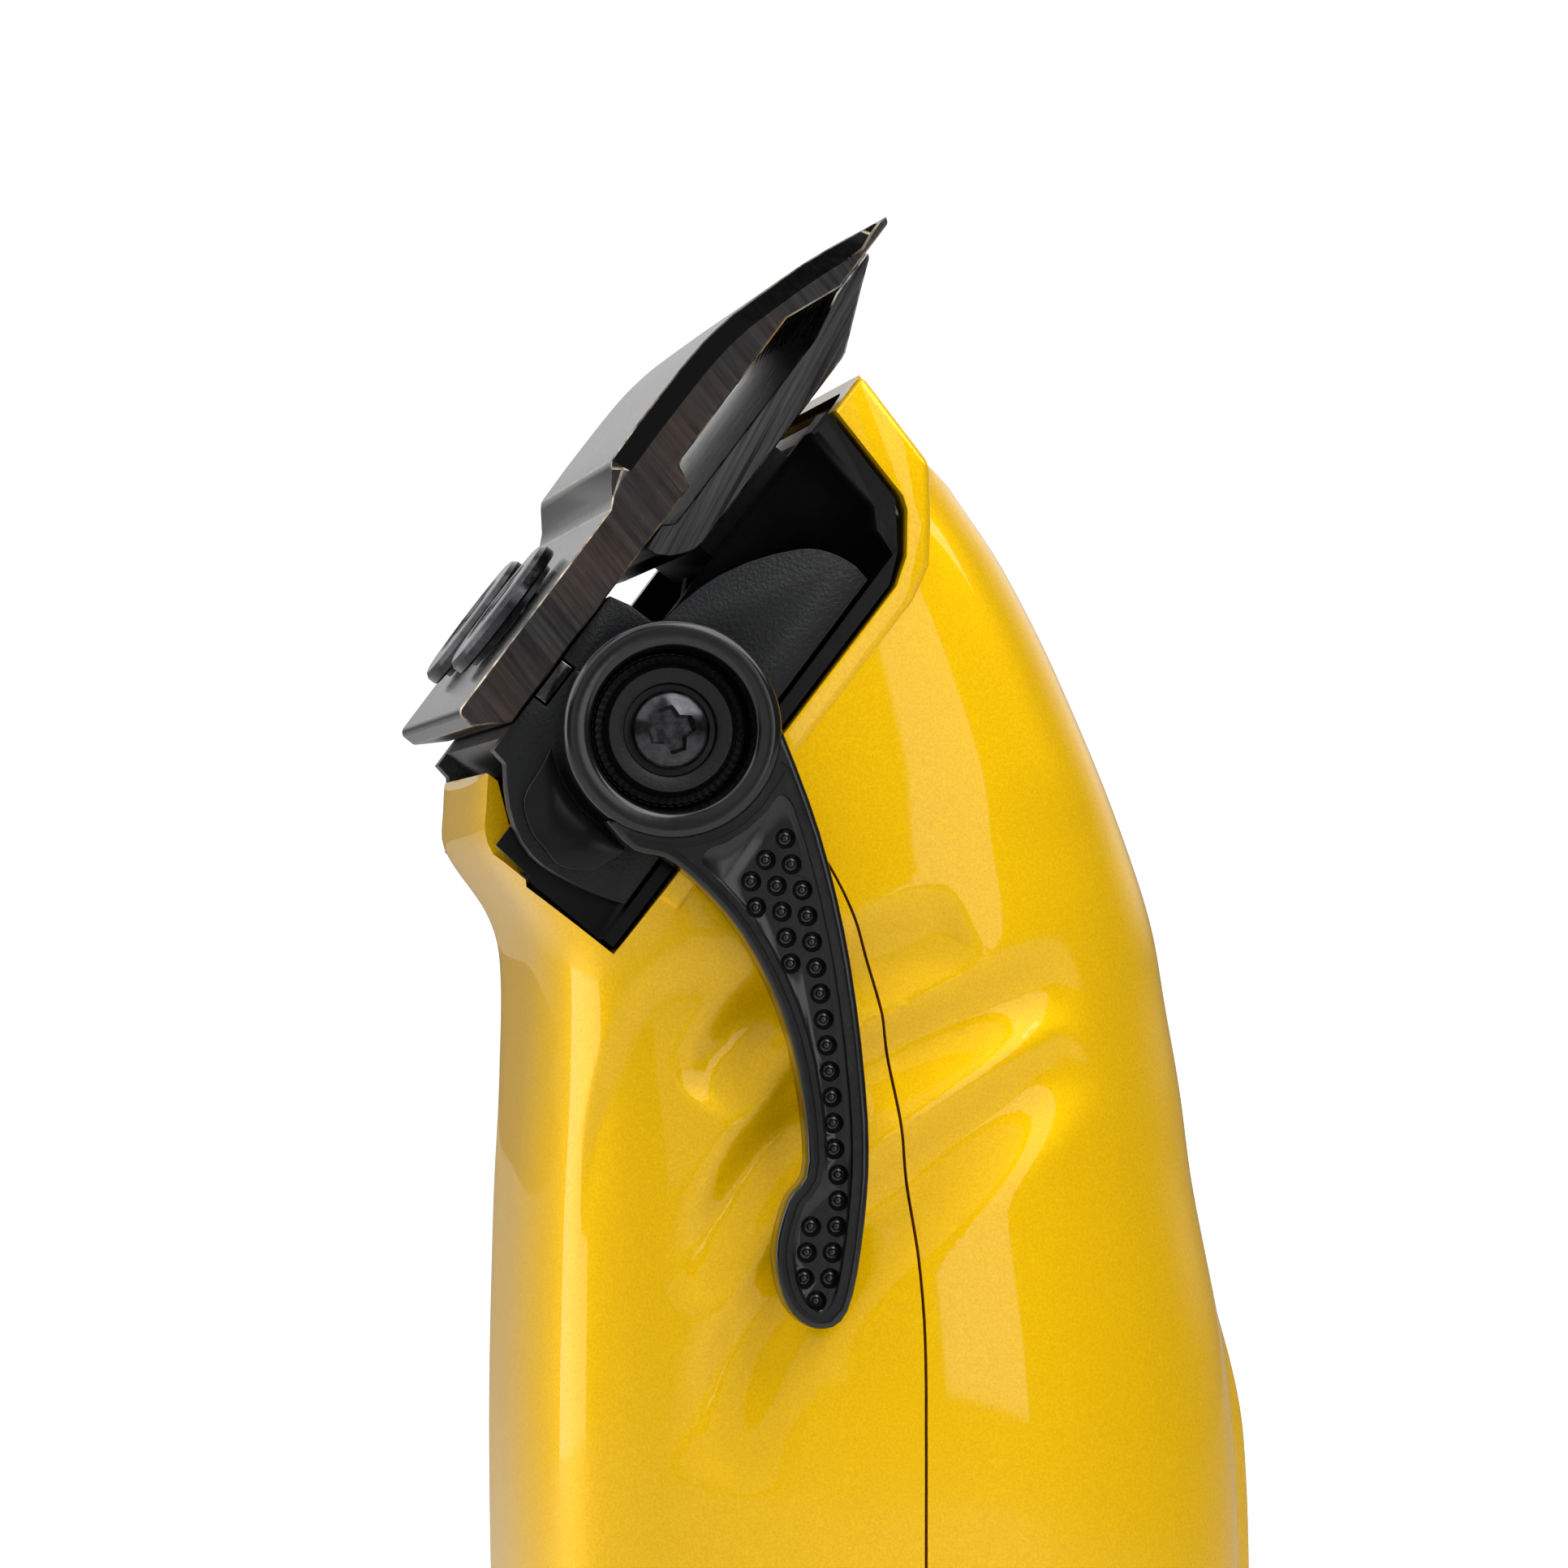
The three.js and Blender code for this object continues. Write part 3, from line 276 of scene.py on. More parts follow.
def combine(shape, tool, operation):
    """Cuts, joins or intersects two closed shapes, and gives back the result."""
    objects = []
    for part in (shape, tool):
        mesh = bpy.data.meshes.new("combined")
        part.to_mesh(mesh)
        part.free()
        obj = bpy.data.objects.new("combined", mesh)
        bpy.context.scene.collection.objects.link(obj)
        objects.append(obj)
    body, cutter = objects
    modifier = body.modifiers.new("combine", "BOOLEAN")
    modifier.object = cutter
    modifier.operation = operation
    modifier.solver = "EXACT"
    evaluated = body.evaluated_get(bpy.context.evaluated_depsgraph_get())
    result = bmesh.new()
    result.from_mesh(evaluated.to_mesh())
    evaluated.to_mesh_clear()
    for obj in objects:
        mesh = obj.data
        bpy.data.objects.remove(obj)
        bpy.data.meshes.remove(mesh)
    return result


def cut(shape, *tools):
    """The shape without each tool."""
    for tool in tools:
        shape = combine(shape, tool, "DIFFERENCE")
    return shape


def join(shape, *others):
    """The shapes as one closed solid."""
    for other in others:
        shape = combine(shape, other, "UNION")
    return shape


def mark_faces(shape, layer_name, chosen):
    """Marks the faces that a test chooses, so that a finish can tell them from the rest."""
    layer = shape.faces.layers.float.get(layer_name) or shape.faces.layers.float.new(layer_name)
    for face in shape.faces:
        if chosen(face):
            face[layer] = 1.0


def soften_edges(shape, width, degrees=40, segments=2):
    """Rounds the sharp edges, and marks the rounds so that a finish can wear them."""
    flat = shape.faces.layers.int.new("flat")
    shape.faces.index_update()
    for face in shape.faces:
        face[flat] = face.index + 1
    bevel(shape, edges_sharper(shape, degrees), width, segments)
    largest = {}
    for face in shape.faces:
        largest[face[flat]] = max(largest.get(face[flat], 0), face.calc_area())
    mark_faces(shape, "edge", lambda face: face.calc_area() < largest[face[shape.faces.layers.int["flat"]]])
    shape.faces.layers.int.remove(shape.faces.layers.int["flat"])
    return shape


def finish_piece(shape, place, name, body, material, replaces=(), angle=32):
    """Puts a shape in the frame as a piece that rides on a body."""
    bmesh.ops.transform(shape, matrix=place, verts=shape.verts)
    bmesh.ops.remove_doubles(shape, verts=shape.verts, dist=2e-7)
    mesh = bpy.data.meshes.new(name)
    shape.to_mesh(mesh)
    shape.free()
    mesh.shade_smooth()
    mesh.set_sharp_from_angle(angle=math.radians(angle))
    mesh.materials.append(material)
    piece = bpy.data.objects.new(name, mesh)
    bpy.context.scene.collection.objects.link(piece)
    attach(piece, body)
    if replaces:
        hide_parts(*replaces)
    return piece


def rounded_copy(node, name, body, material, width=0.15, degrees=35, segments=2):
    """A copy of a CAD node with its coplanar faces merged and its edges rounded."""
    shape = bmesh.new()
    shape.from_mesh(frame["nodes"][node].data)
    bmesh.ops.transform(shape, matrix=Matrix.Scale(1 / MM, 4), verts=shape.verts)
    bmesh.ops.remove_doubles(shape, verts=shape.verts, dist=0.01)
    bmesh.ops.dissolve_degenerate(shape, edges=shape.edges, dist=0.02)
    bmesh.ops.dissolve_limit(
        shape, angle_limit=math.radians(1.0), verts=shape.verts, edges=shape.edges,
        use_dissolve_boundaries=False)
    if width:
        soften_edges(shape, width, degrees, segments)
    return finish_piece(shape, Matrix.Scale(MM, 4), name, body, material, [node], degrees)


# ---- the handle's surface ----
HALF_DEPTH = 22.3
HALF_WIDTH = 24.0
FRONT_BOW = 0.5  # how far the front falls back at its corners
PAD_RISE = 0.8  # the raised pad under the thumb
PAD_START = 0.36  # where the pad starts, as a share of the handle's height


def handle(points, unit=1.0):
    """Points given as shares of the handle's height."""
    return [(share * HANDLE_HEIGHT, value * unit) for share, value in points]


def head(points):
    """Points given as heights above the handle."""
    return [(HANDLE_HEIGHT + rise, value) for rise, value in points]


front_face = curve_through(
    handle([(0, -0.66), (0.07, -0.735), (0.2, -0.81), (0.4, -0.91), (0.6, -0.985)], HALF_DEPTH)
    + handle([(0.75, -1.004), (0.88, -0.99), (0.96, -0.967)], HALF_DEPTH)
    + head([(2.4, -21.5), (5.2, -22.3), (9.2, -24.9), (11.7, -25), (16, -24.8), (40, -24.8)]))
back_face = curve_through(
    handle([(0, 0.64), (0.07, 0.72), (0.2, 0.82), (0.4, 0.925), (0.6, 0.99), (0.71, 0.998)], HALF_DEPTH)
    + handle([(0.8, 0.965), (0.9, 0.87), (0.95, 0.834)], HALF_DEPTH)
    + head([(-0.6, 17.6), (3.9, 16.6), (8.4, 15), (13.1, 13), (17.6, 11), (21.8, 9), (26.3, 6.5), (29.9, 4)])
    + head([(34, 1.2), (40, -3)]))
half_width = curve_through(
    handle([(0, 0.66), (0.07, 0.75), (0.2, 0.84), (0.4, 0.93)], HALF_WIDTH)
    + handle([(0.6, 0.985), (0.75, 1), (0.9, 0.993)], HALF_WIDTH)
    + head([(2, RIM_HALF - 0.1), (12, RIM_HALF - 0.1), (40, RIM_HALF - 0.5)]))
# 2 would be an ellipse; more is squarer. The front is squarer than the thumb side.
front_squareness = curve_through(
    handle([(0, 3.0), (0.3, 3.4), (0.6, 3.7), (0.88, 4.2)]) + head([(2, 5.6), (9, 6.4), (14, 6), (40, 5.5)]))
back_squareness = curve_through(
    handle([(0, 3.2), (0.3, 3.2), (0.9, 3.1)]) + head([(0, 3.4), (9, 4.4), (14, 5), (40, 5.5)]))

# Where the side panel's front edge is, by height.
panel_edge = curve_through(
    handle([(0.1, -13), (0.4, -18), (0.7, -20.2), (0.86, -20)])
    + head([(-9.6, -19.5), (-5.6, -18.6), (-2.9, -17.7), (0.2, -16.2), (3, -13)]))

# The valleys of the grip flutes, as seen from the side: [across, rise above the handle], from the
# thumb side down to the front. They carry on over the seam.
FLUTES = [
    [(3.0, 4.6), (-2.4, 2.4), (-7.2, 0.1), (-10.2, -2.2), (-12.6, -6.0)],
    [
        (9.8, 1.6), (6.7, 0.4), (2.8, -1.3), (-1.0, -3.0), (-4.6, -4.9), (-8.3, -8.6), (-11.0, -13.2),
        (-12.2, -18.0)],
    [
        (10.0, -2.5), (6.7, -5.2), (2.8, -8.2), (-1.0, -11.2), (-5.2, -14.4), (-8.8, -18.2),
        (-10.8, -22.4), (-11.6, -28.0)],
]
FLUTE_LINES = [
    [Vector((x, HANDLE_HEIGHT + rise)) for x, rise in smooth_line(flute, 10)] for flute in FLUTES]
STEEP_SIDE = 0.8  # how far a flute reaches above its valley, in half widths
GENTLE_SIDE = 1.2  # and below it


def flute_depth(x, height, width):
    """How deep the flutes are at a place on the side, from 0 to 1: steep above each valley, gentle below."""
    deepest = 0.0
    here = Vector((x, height))
    for line in FLUTE_LINES:
        if not line[-1].y - 2 * width < height < line[0].y + 2 * width:
            continue
        index = min(range(len(line)), key=lambda i: (here - line[i]).length_squared)
        point = line[index]
        along = (line[min(index + 1, len(line) - 1)] - line[max(index - 1, 0)]).normalized()
        offset = here - point
        beside = along.x * offset.y - along.y * offset.x
        past_end = abs(along.dot(offset))
        reach = width * (GENTLE_SIDE if beside > 0 else STEEP_SIDE)
        share = min(max((index + along.dot(offset) / width) / (len(line) - 1), 0), 1)
        fade = math.sin(math.pi * share) ** 0.7
        near = smoothstep(reach, 0, abs(beside)) * smoothstep(width, 0, past_end)
        deepest = max(deepest, fade * near)
    return deepest


def side_panel(x, height):
    """How far a place on the side is into the sunk panel, from 0 to 1."""
    edge = panel_edge(height)
    across = smoothstep(edge - 0.3, edge + 1.0, x) * (1 - smoothstep(-14.0, -1.0, x))
    below_head = 1 - smoothstep(0.0, 4.0, height - HANDLE_HEIGHT)
    return across * smoothstep(0.1, 0.4, height / HANDLE_HEIGHT) * below_head


def thumb_pad(beside, height):
    """How far a place on the thumb side is onto the raised pad, from 0 to 1."""
    start = PAD_START * HANDLE_HEIGHT
    low = smoothstep(start - 1, start + 9, height)
    high = 1 - smoothstep(0.76 * HANDLE_HEIGHT, 0.85 * HANDLE_HEIGHT, height)
    return (1 - smoothstep(7.8, 9.4, beside)) * low * high


def handle_surface(angle, height, sizes, inset=0.0, detailed=False):
    """A point of the handle's surface, drawn in the side view."""
    front, back = front_face(height), back_face(height)
    depth = (back - front) / 2 - inset
    width = half_width(height) - inset
    c, s = math.cos(angle), math.sin(angle)
    power = front_squareness(height) if c < 0 else back_squareness(height)
    reach = ((abs(c) / depth) ** power + (abs(s) / width) ** power) ** (-1 / power)
    x = (front + back) / 2 + reach * c
    w = reach * s
    if c < 0:
        x += FRONT_BOW * (w / width * reach * c / depth) ** 2
    if detailed:
        on_side = smoothstep(0.75, 0.9, abs(w) / width)
        flutes = sizes.flute_depth * flute_depth(x, height, sizes.flute_width)
        panel = sizes.panel_depth * side_panel(x, height)
        w -= math.copysign(on_side * (flutes + panel), w)
        if c > 0:
            x += PAD_RISE * thumb_pad(abs(w), height)
    return Vector((x, height, w))


def handle_solid(low, high, rings, sides, sizes, inset=0.0, detailed=False):
    """A closed solid inside the handle's surface, between two heights."""
    shape = bmesh.new()
    bmesh.ops.create_grid(shape, x_segments=sides, y_segments=rings, size=1.0)
    for vert in shape.verts:
        turn = (vert.co.x + 1) * math.pi
        angle = turn + 0.12 * math.sin(4 * turn)  # closer together round the corners
        height = low + (high - low) * (vert.co.y + 1) / 2
        vert.co = handle_surface(angle, height, sizes, inset, detailed)
    bmesh.ops.remove_doubles(shape, verts=shape.verts, dist=1e-4)
    rims = [e for e in shape.edges if len(e.link_faces) == 1]
    bmesh.ops.edgeloop_fill(shape, edges=[e for e in rims if e.verts[0].co.y < (low + high) / 2])
    bmesh.ops.edgeloop_fill(shape, edges=[e for e in rims if e.verts[0].co.y > (low + high) / 2])
    bmesh.ops.recalc_face_normals(shape, faces=shape.faces)
    return shape


# ---- the housing ----
WIDE = 40.0  # more than half the clipper's width
NOSE_END = 23.8  # along the blades from the pivot
MOUTH_FLOOR = -5.8  # below the pivot, square to the blades
MOUTH_HEEL = -12.1  # along the blades from the pivot
LIP_HALF = 16.0  # half the width of the lip behind the blade
PARTING_X = 0.7
TAIL_HEIGHT = 6.3
SHELL_SCREWS = [f"shell_screw_{level}_{side}" for level in ("upper", "lower") for side in ("left", "right")]
SCREW_POCKET = 2.5  # radius of a shell screw's pocket
SCREW_HEAD = 2.0  # depth of a shell screw's head
SWITCH_TRAVEL = 4.0
SWITCH_SLOT = (3.0, 7.6, 1.2)  # half width, half length, corner radius
LENS_HOLE = 1.65  # radius
SKIN_INSIDE = 12  # a depth on the thumb side that is well inside the housing


def mouth_tool(inset=0.0):
    """What the head's mouth takes out of the housing, drawn in the head's view."""
    floor = [
        (NOSE_END - 2.6 - inset, 3.3), (NOSE_END - 4.2 - inset, -2.9 + inset * 0.6),
        (NOSE_END - 4.7 - inset, -3.6 + inset), (NOSE_END - 6.9 - inset * 0.6, -5.2 + inset),
        (NOSE_END - 8.7, MOUTH_FLOOR + inset), (MOUTH_HEEL + inset, MOUTH_FLOOR + 0.2 + inset)]
    above = [(-60, 40), (NOSE_END + 15, 40), (NOSE_END + 15, 3.3)]
    lip = [(0.3, 0.6), (2.8, 3.6), (4.4, 5.6), (4.4, 6.4)]
    middle = floor + [(MOUTH_HEEL + x + inset, y) for x, y in lip] + [(-60, 6.4)] + above
    beside = floor + [(MOUTH_HEEL + 0.9 + inset, 4.6), (-60, 4.6)] + above
    edge = LIP_HALF + inset
    whole = join(prism(middle, -WIDE, WIDE), prism(beside, edge, WIDE + 1))
    return join(whole, prism(beside, -WIDE - 1, -edge))


def parting_region(front, seam):
    """Everything on one side of the surface between the shells."""
    shift = -seam if front else seam
    curve = smooth_line([
        (PARTING_X, HANDLE_HEIGHT - 26), (PARTING_X - 0.2, HANDLE_HEIGHT - 17.5),
        (PARTING_X - 1.7, HANDLE_HEIGHT - 5.6), (PARTING_X - 3.2, HANDLE_HEIGHT + 2),
        (PARTING_X - 5.6, HANDLE_HEIGHT + 7.8), (PARTING_X - 10.2, HANDLE_HEIGHT + 14)], 8)
    curve = [(x + shift, y) for x, y in curve]
    far = -70 if front else 70
    outline = [(PARTING_X + shift, -5)] + curve + [(curve[-1][0], HANDLE_HEIGHT + 60)]
    outline += [(far, HANDLE_HEIGHT + 60), (far, -5)]
    return prism(outline, -WIDE - 5, WIDE + 5)


def nose_rim():
    """The raised band round the upper part of the mouth, with rounded edges."""
    outline = [
        (NOSE_END, 3.3), (NOSE_END - 1.7, -3), (NOSE_END - 4.6, -5.3), (NOSE_END - 6.5, -6.6),
        (NOSE_END - 8.7, -7.1), (-8, -7.1), (-8, 3.3)]
    return prism(outline, -RIM_HALF, RIM_HALF, 0.45, 3)


def housing(sizes):
    """Both painted halves in one, before they are parted."""
    top = HANDLE_HEIGHT + 38
    sides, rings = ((sizes.sides, sizes.rings))
    outside = handle_solid(TAIL_HEIGHT, top, rings, sides, sizes, detailed=True)
    past_nose = prism([(24.7, 6), (22.4, -2.5), (22.4, -30), (60, -30), (60, 6)], -WIDE, WIDE)
    outside = cut(outside, moved(past_nose, HEAD_IN_SIDE))
    outside = join(outside, moved(nose_rim(), HEAD_IN_SIDE))
    inside = handle_solid(TAIL_HEIGHT - 1, top - 2, 60, 60, sizes, inset=sizes.wall)
    return cut(outside, inside, moved(mouth_tool(), HEAD_IN_SIDE))


def along_x(shape, y, z):
    """Turns a shape drawn along z so that it runs to the thumb side, from a height and a distance out."""
    return moved(shape, Matrix.Translation((0, y, z)) @ Matrix.Rotation(math.pi / 2, 4, "Y"))


def screw_places():
    """Where the shell screws are: (node, height, distance to the lever side)."""
    places = []
    for node in SHELL_SCREWS:
        low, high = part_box(node)
        places.append((node, (low[2] + high[2]) / 2 / MM, -(low[1] + high[1]) / 2 / MM))
    return places


class CLIPPER_OT_housing(Operator):
    """Make the two painted halves of the handle"""

    bl_idname = "clipper.housing"
    bl_label = "Housing"

    def execute(self, context):
        sizes = context.scene.clipper_housing
        whole = housing(sizes)
        back = whole.copy()
        front = combine(whole, parting_region(True, sizes.seam), "INTERSECT")
        for node, y, z in screw_places():
            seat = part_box(node)[0][0] / MM + SCREW_HEAD
            front = cut(front, along_x(rod(SCREW_POCKET, seat - 30, seat), y, z))
        finish_piece(front, SIDE, "front_shell_skin", "housing", paint(), ["front_shell"])
        back = combine(back, parting_region(False, sizes.seam), "INTERSECT")
        low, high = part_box("switch_knob")
        middle = (low[2] + high[2]) / 2 / MM + SWITCH_TRAVEL / 2
        slot = prism(rounded_slot(*SWITCH_SLOT), SKIN_INSIDE, WIDE)
        back = cut(back, along_x(slot, middle, 0))
        low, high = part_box("indicator_lens")
        lens_hole = rod(LENS_HOLE, SKIN_INSIDE, WIDE)
        back = cut(back, along_x(lens_hole, (low[2] + high[2]) / 2 / MM, 0))
        finish_piece(back, SIDE, "back_shell_skin", "housing", paint(), ["back_shell"])
        return {"FINISHED"}


def rounded_slot(half_width, half_length, radius):
    """A rounded rectangle, drawn to be turned along x: across is z, and along is y."""
    x, y = half_width - radius, half_length - radius
    return (
        arc(x, -y, radius, -90, 0, 5) + arc(x, y, radius, 0, 90, 5)
        + arc(-x, y, radius, 90, 180, 5) + arc(-x, -y, radius, 180, 270, 5))


# ---- finishes ----
FLOAT = "NodeSocketFloat"
VECTOR = "NodeSocketVector"


def node_group(name, inputs, outputs, build):
    """A shader node group, made once."""
    tree = bpy.data.node_groups.get(name)
    if tree:
        return tree
    tree = bpy.data.node_groups.new(name, "ShaderNodeTree")
    for label, kind, default in inputs:
        socket = tree.interface.new_socket(label, in_out="INPUT", socket_type=kind)
        socket.default_value = default
    for label, kind in outputs:
        tree.interface.new_socket(label, in_out="OUTPUT", socket_type=kind)
    start = tree.nodes.new("NodeGroupInput")
    end = tree.nodes.new("NodeGroupOutput")
    build(tree, start, end)
    return tree


def add_node(tree, kind, values=None, **settings):
    """A node with its settings and its sockets' values."""
    node = tree.nodes.new(kind)
    for key, value in settings.items():
        setattr(node, key, value)
    for key, value in (values or {}).items():
        node.inputs[key].default_value = value
    return node


def noise(tree, vector, scale, detail=2.0, roughness=0.5):
    """Noise on a vector, as its 0 to 1 factor."""
    node = add_node(tree, "ShaderNodeTexNoise", {"Scale": scale, "Detail": detail, "Roughness": roughness})
    tree.links.new(vector, node.inputs["Vector"])
    return node.outputs["Fac"]


def ramp(tree, value, low, high, to_low=0.0, to_high=1.0):
    """Maps a value from one range to another, clamped."""
    node = add_node(tree, "ShaderNodeMapRange", {1: low, 2: high, 3: to_low, 4: to_high})
    tree.links.new(value, node.inputs[0])
    return node.outputs[0]


def maths(tree, operation, a, b):
    """A sum of two values."""
    node = add_node(tree, "ShaderNodeMath", operation=operation)
    for socket, value in zip(node.inputs, (a, b)):
        if isinstance(value, (int, float)):
            socket.default_value = value
        else:
            tree.links.new(value, socket)
    return node.outputs[0]


def build_grain(tree, start, end):
    """The nodes of the grain group."""
    place = add_node(tree, "ShaderNodeTexCoord").outputs["Object"]
    fine = add_node(tree, "ShaderNodeTexNoise", {"Detail": 3.0, "Roughness": 0.6})
    tree.links.new(place, fine.inputs["Vector"])
    tree.links.new(start.outputs["Scale"], fine.inputs["Scale"])
    broad = noise(tree, place, 160.0, 3.0)
    tree.links.new(fine.outputs["Fac"], end.inputs["Height"])
    tree.links.new(ramp(tree, fine.outputs["Fac"], 0.35, 0.7), end.inputs["Speckle"])
    tree.links.new(ramp(tree, broad, 0.3, 0.7), end.inputs["Smudge"])


def grain_group():
    """Moulded or sprayed grain: a height, a speckle and a broad smudge."""
    return node_group(
        "Fine Grain", [("Scale", FLOAT, 3000.0)],
        [("Height", FLOAT), ("Speckle", FLOAT), ("Smudge", FLOAT)], build_grain)


def build_lines(tree, start, end):
    """The nodes of the grinding lines group."""
    place = add_node(tree, "ShaderNodeTexCoord").outputs["Object"]
    turn = add_node(tree, "ShaderNodeMapping", vector_type="TEXTURE")
    tree.links.new(place, turn.inputs["Vector"])
    tree.links.new(start.outputs["Turn"], turn.inputs["Rotation"])
    stretch = add_node(tree, "ShaderNodeVectorMath", operation="MULTIPLY")
    tree.links.new(turn.outputs[0], stretch.inputs[0])
    tree.links.new(start.outputs["Stretch"], stretch.inputs[1])
    fine = noise(tree, stretch.outputs[0], 1.0, 4.0, 0.7)
    tree.links.new(fine, end.inputs["Height"])
    tree.links.new(ramp(tree, fine, 0.38, 0.62), end.inputs["Tone"])


def lines_group():
    """Straight grinding lines: a height and a tone."""
    return node_group(
        "Grinding Lines", [("Turn", VECTOR, (0.0, 0.0, 0.0)), ("Stretch", VECTOR, (9000.0, 9000.0, 60.0))],
        [("Height", FLOAT), ("Tone", FLOAT)], build_lines)


def build_wear(tree, start, end):
    """The nodes of the edge wear group."""
    mask = add_node(tree, "ShaderNodeAttribute", attribute_name="edge")
    place = add_node(tree, "ShaderNodeTexCoord").outputs["Object"]
    broken = ramp(tree, noise(tree, place, 900.0, 3.0), 0.35, 0.6)
    worn = maths(tree, "MULTIPLY", mask.outputs["Fac"], broken)
    tree.links.new(maths(tree, "MULTIPLY", worn, start.outputs["Amount"]), end.inputs["Mask"])


def wear_group():
    """Wear along the rounded edges that a piece has marked."""
    return node_group("Edge Wear", [("Amount", FLOAT, 0.5)], [("Mask", FLOAT)], build_wear)


def use_group(tree, group, **values):
    """A group placed in a material with its own values."""
    node = tree.nodes.new("ShaderNodeGroup")
    node.node_tree = group
    for key, value in values.items():
        node.inputs[key].default_value = value
    return node.outputs


def mix_colour(tree, factor, a, b):
    """A colour between two, by a factor."""
    node = add_node(tree, "ShaderNodeMix", data_type="RGBA")
    tree.links.new(factor, node.inputs["Factor"])
    for socket, colour in ((node.inputs[6], a), (node.inputs[7], b)):
        if isinstance(colour, tuple):
            socket.default_value = (*colour[:3], 1.0)
        else:
            tree.links.new(colour, socket)
    return node.outputs[2]


def new_finish(name):
    """A new material with its tree and shader, or the material alone when it was made before."""
    name += "_finish"
    material = bpy.data.materials.get(name)
    if material:
        return material, None, None
    material = bpy.data.materials.new(name)
    material.use_nodes = True
    tree = material.node_tree
    return material, tree, tree.nodes["Principled BSDF"]


def bump(tree, shader, height, strength, distance):
    """A bump from a height, in metres."""
    node = add_node(tree, "ShaderNodeBump", {"Strength": strength, "Distance": distance})
    tree.links.new(height, node.inputs["Height"])
    tree.links.new(node.outputs[0], shader.inputs["Normal"])


def paint():
    """Golden metal-flake paint under a clear coat."""
    material, tree, shader = new_finish("yellow_flake_paint")
    if not tree:
        return material
    colours = bpy.context.scene.clipper_colours
    grain = use_group(tree, grain_group(), Scale=7000.0)
    flake = mix_colour(tree, grain["Speckle"], tuple(colours.paint), tuple(colours.paint_light))
    tree.links.new(flake, shader.inputs["Base Color"])
    rough = ramp(tree, grain["Speckle"], 0.0, 1.0, 0.48, 0.4)
    tree.links.new(rough, shader.inputs["Roughness"])
    shader.inputs["Metallic"].default_value = 0.45
    shader.inputs["Specular IOR Level"].default_value = 0.0
    shader.inputs["Coat Weight"].default_value = 0.75
    shader.inputs["Coat Roughness"].default_value = 0.035
    shader.inputs["Coat IOR"].default_value = 1.45
    bump(tree, shader, grain["Height"], 0.06, 0.00004)
    return material


def moulded(name, colour, roughness, grain_scale, grain_depth, worn=(0.03, 0.03, 0.033), gloss=0.25):
    """A moulded plastic, with its grain (its depth in metres) and worn edges."""
    material, tree, shader = new_finish(name)
    if not tree:
        return material
    grain = use_group(tree, grain_group(), Scale=grain_scale)
    wear = use_group(tree, wear_group(), Amount=0.5)
    base = mix_colour(tree, grain["Speckle"], tuple(c * 0.8 for c in colour), tuple(c * 1.25 for c in colour))
    tree.links.new(mix_colour(tree, wear["Mask"], base, worn), shader.inputs["Base Color"])
    smudged = ramp(tree, grain["Smudge"], 0.0, 1.0, roughness - 0.015, roughness + 0.03)
    tree.links.new(smudged, shader.inputs["Roughness"])
    shader.inputs["Specular IOR Level"].default_value = gloss
    bump(tree, shader, grain["Height"], 0.5, grain_depth)
    return material


def gloss_black():
    """The glossy black of the chassis and the switch."""
    return moulded("gloss_black", tuple(bpy.context.scene.clipper_colours.black), 0.16, 1500.0, 0.000004)


def lever_black():
    """The lever's black, glossier still."""
    black = tuple(bpy.context.scene.clipper_colours.black)
    return moulded("lever_black", black, 0.16, 1200.0, 0.000012, gloss=0.5)


def texture_black():
    """The carrier's black, with a leathery grain."""
    return moulded("texture_black", (0.004, 0.0045, 0.0055), 0.36, 4200.0, 0.00012)


def satin_black():
    """The dull black of the tail cap and the inner mouldings."""
    return moulded("satin_black", (0.014, 0.014, 0.015), 0.5, 3600.0, 0.00005)


def washer_black():
    """The sprayed black of the disc in the lever's cup."""
    return moulded("washer_black", (0.005, 0.005, 0.005), 0.4, 5200.0, 0.00006)


def metal(name, colour, roughness, stretch=(2500.0, 2500.0, 90.0), turn=(0.0, 0.0, 0.0), depth=0.000006,
          contrast=0.25, worn=(0.5, 0.48, 0.45), amount=0.7, tint=None, strip=None):
    """Metal with straight lines in it. A tint lies in patches, and a strip colour where a piece marks one."""
    material, tree, shader = new_finish(name)
    if not tree:
        return material
    lines = use_group(tree, lines_group(), Turn=turn, Stretch=stretch)
    wear = use_group(tree, wear_group(), Amount=amount)
    low = tuple(c * (1 - contrast) for c in colour)
    high = tuple(c * (1 + contrast) for c in colour)
    base = mix_colour(tree, lines["Tone"], low, high)
    rough = ramp(tree, lines["Tone"], 0.0, 1.0, roughness - 0.03, roughness + 0.05)
    place = add_node(tree, "ShaderNodeTexCoord").outputs["Object"]
    if tint:
        patches = ramp(tree, noise(tree, place, 110.0, 4.0, 0.65), 0.5, 0.75, 0.0, 0.4)
        base = mix_colour(tree, patches, base, tint)
    if strip:
        mark = add_node(tree, "ShaderNodeAttribute", attribute_name="strip")
        base = mix_colour(tree, mark.outputs["Fac"], base, strip)
    tree.links.new(mix_colour(tree, wear["Mask"], base, worn), shader.inputs["Base Color"])
    tree.links.new(rough, shader.inputs["Roughness"])
    shader.inputs["Metallic"].default_value = 1.0
    bump(tree, shader, lines["Height"], 0.6, depth)
    return material


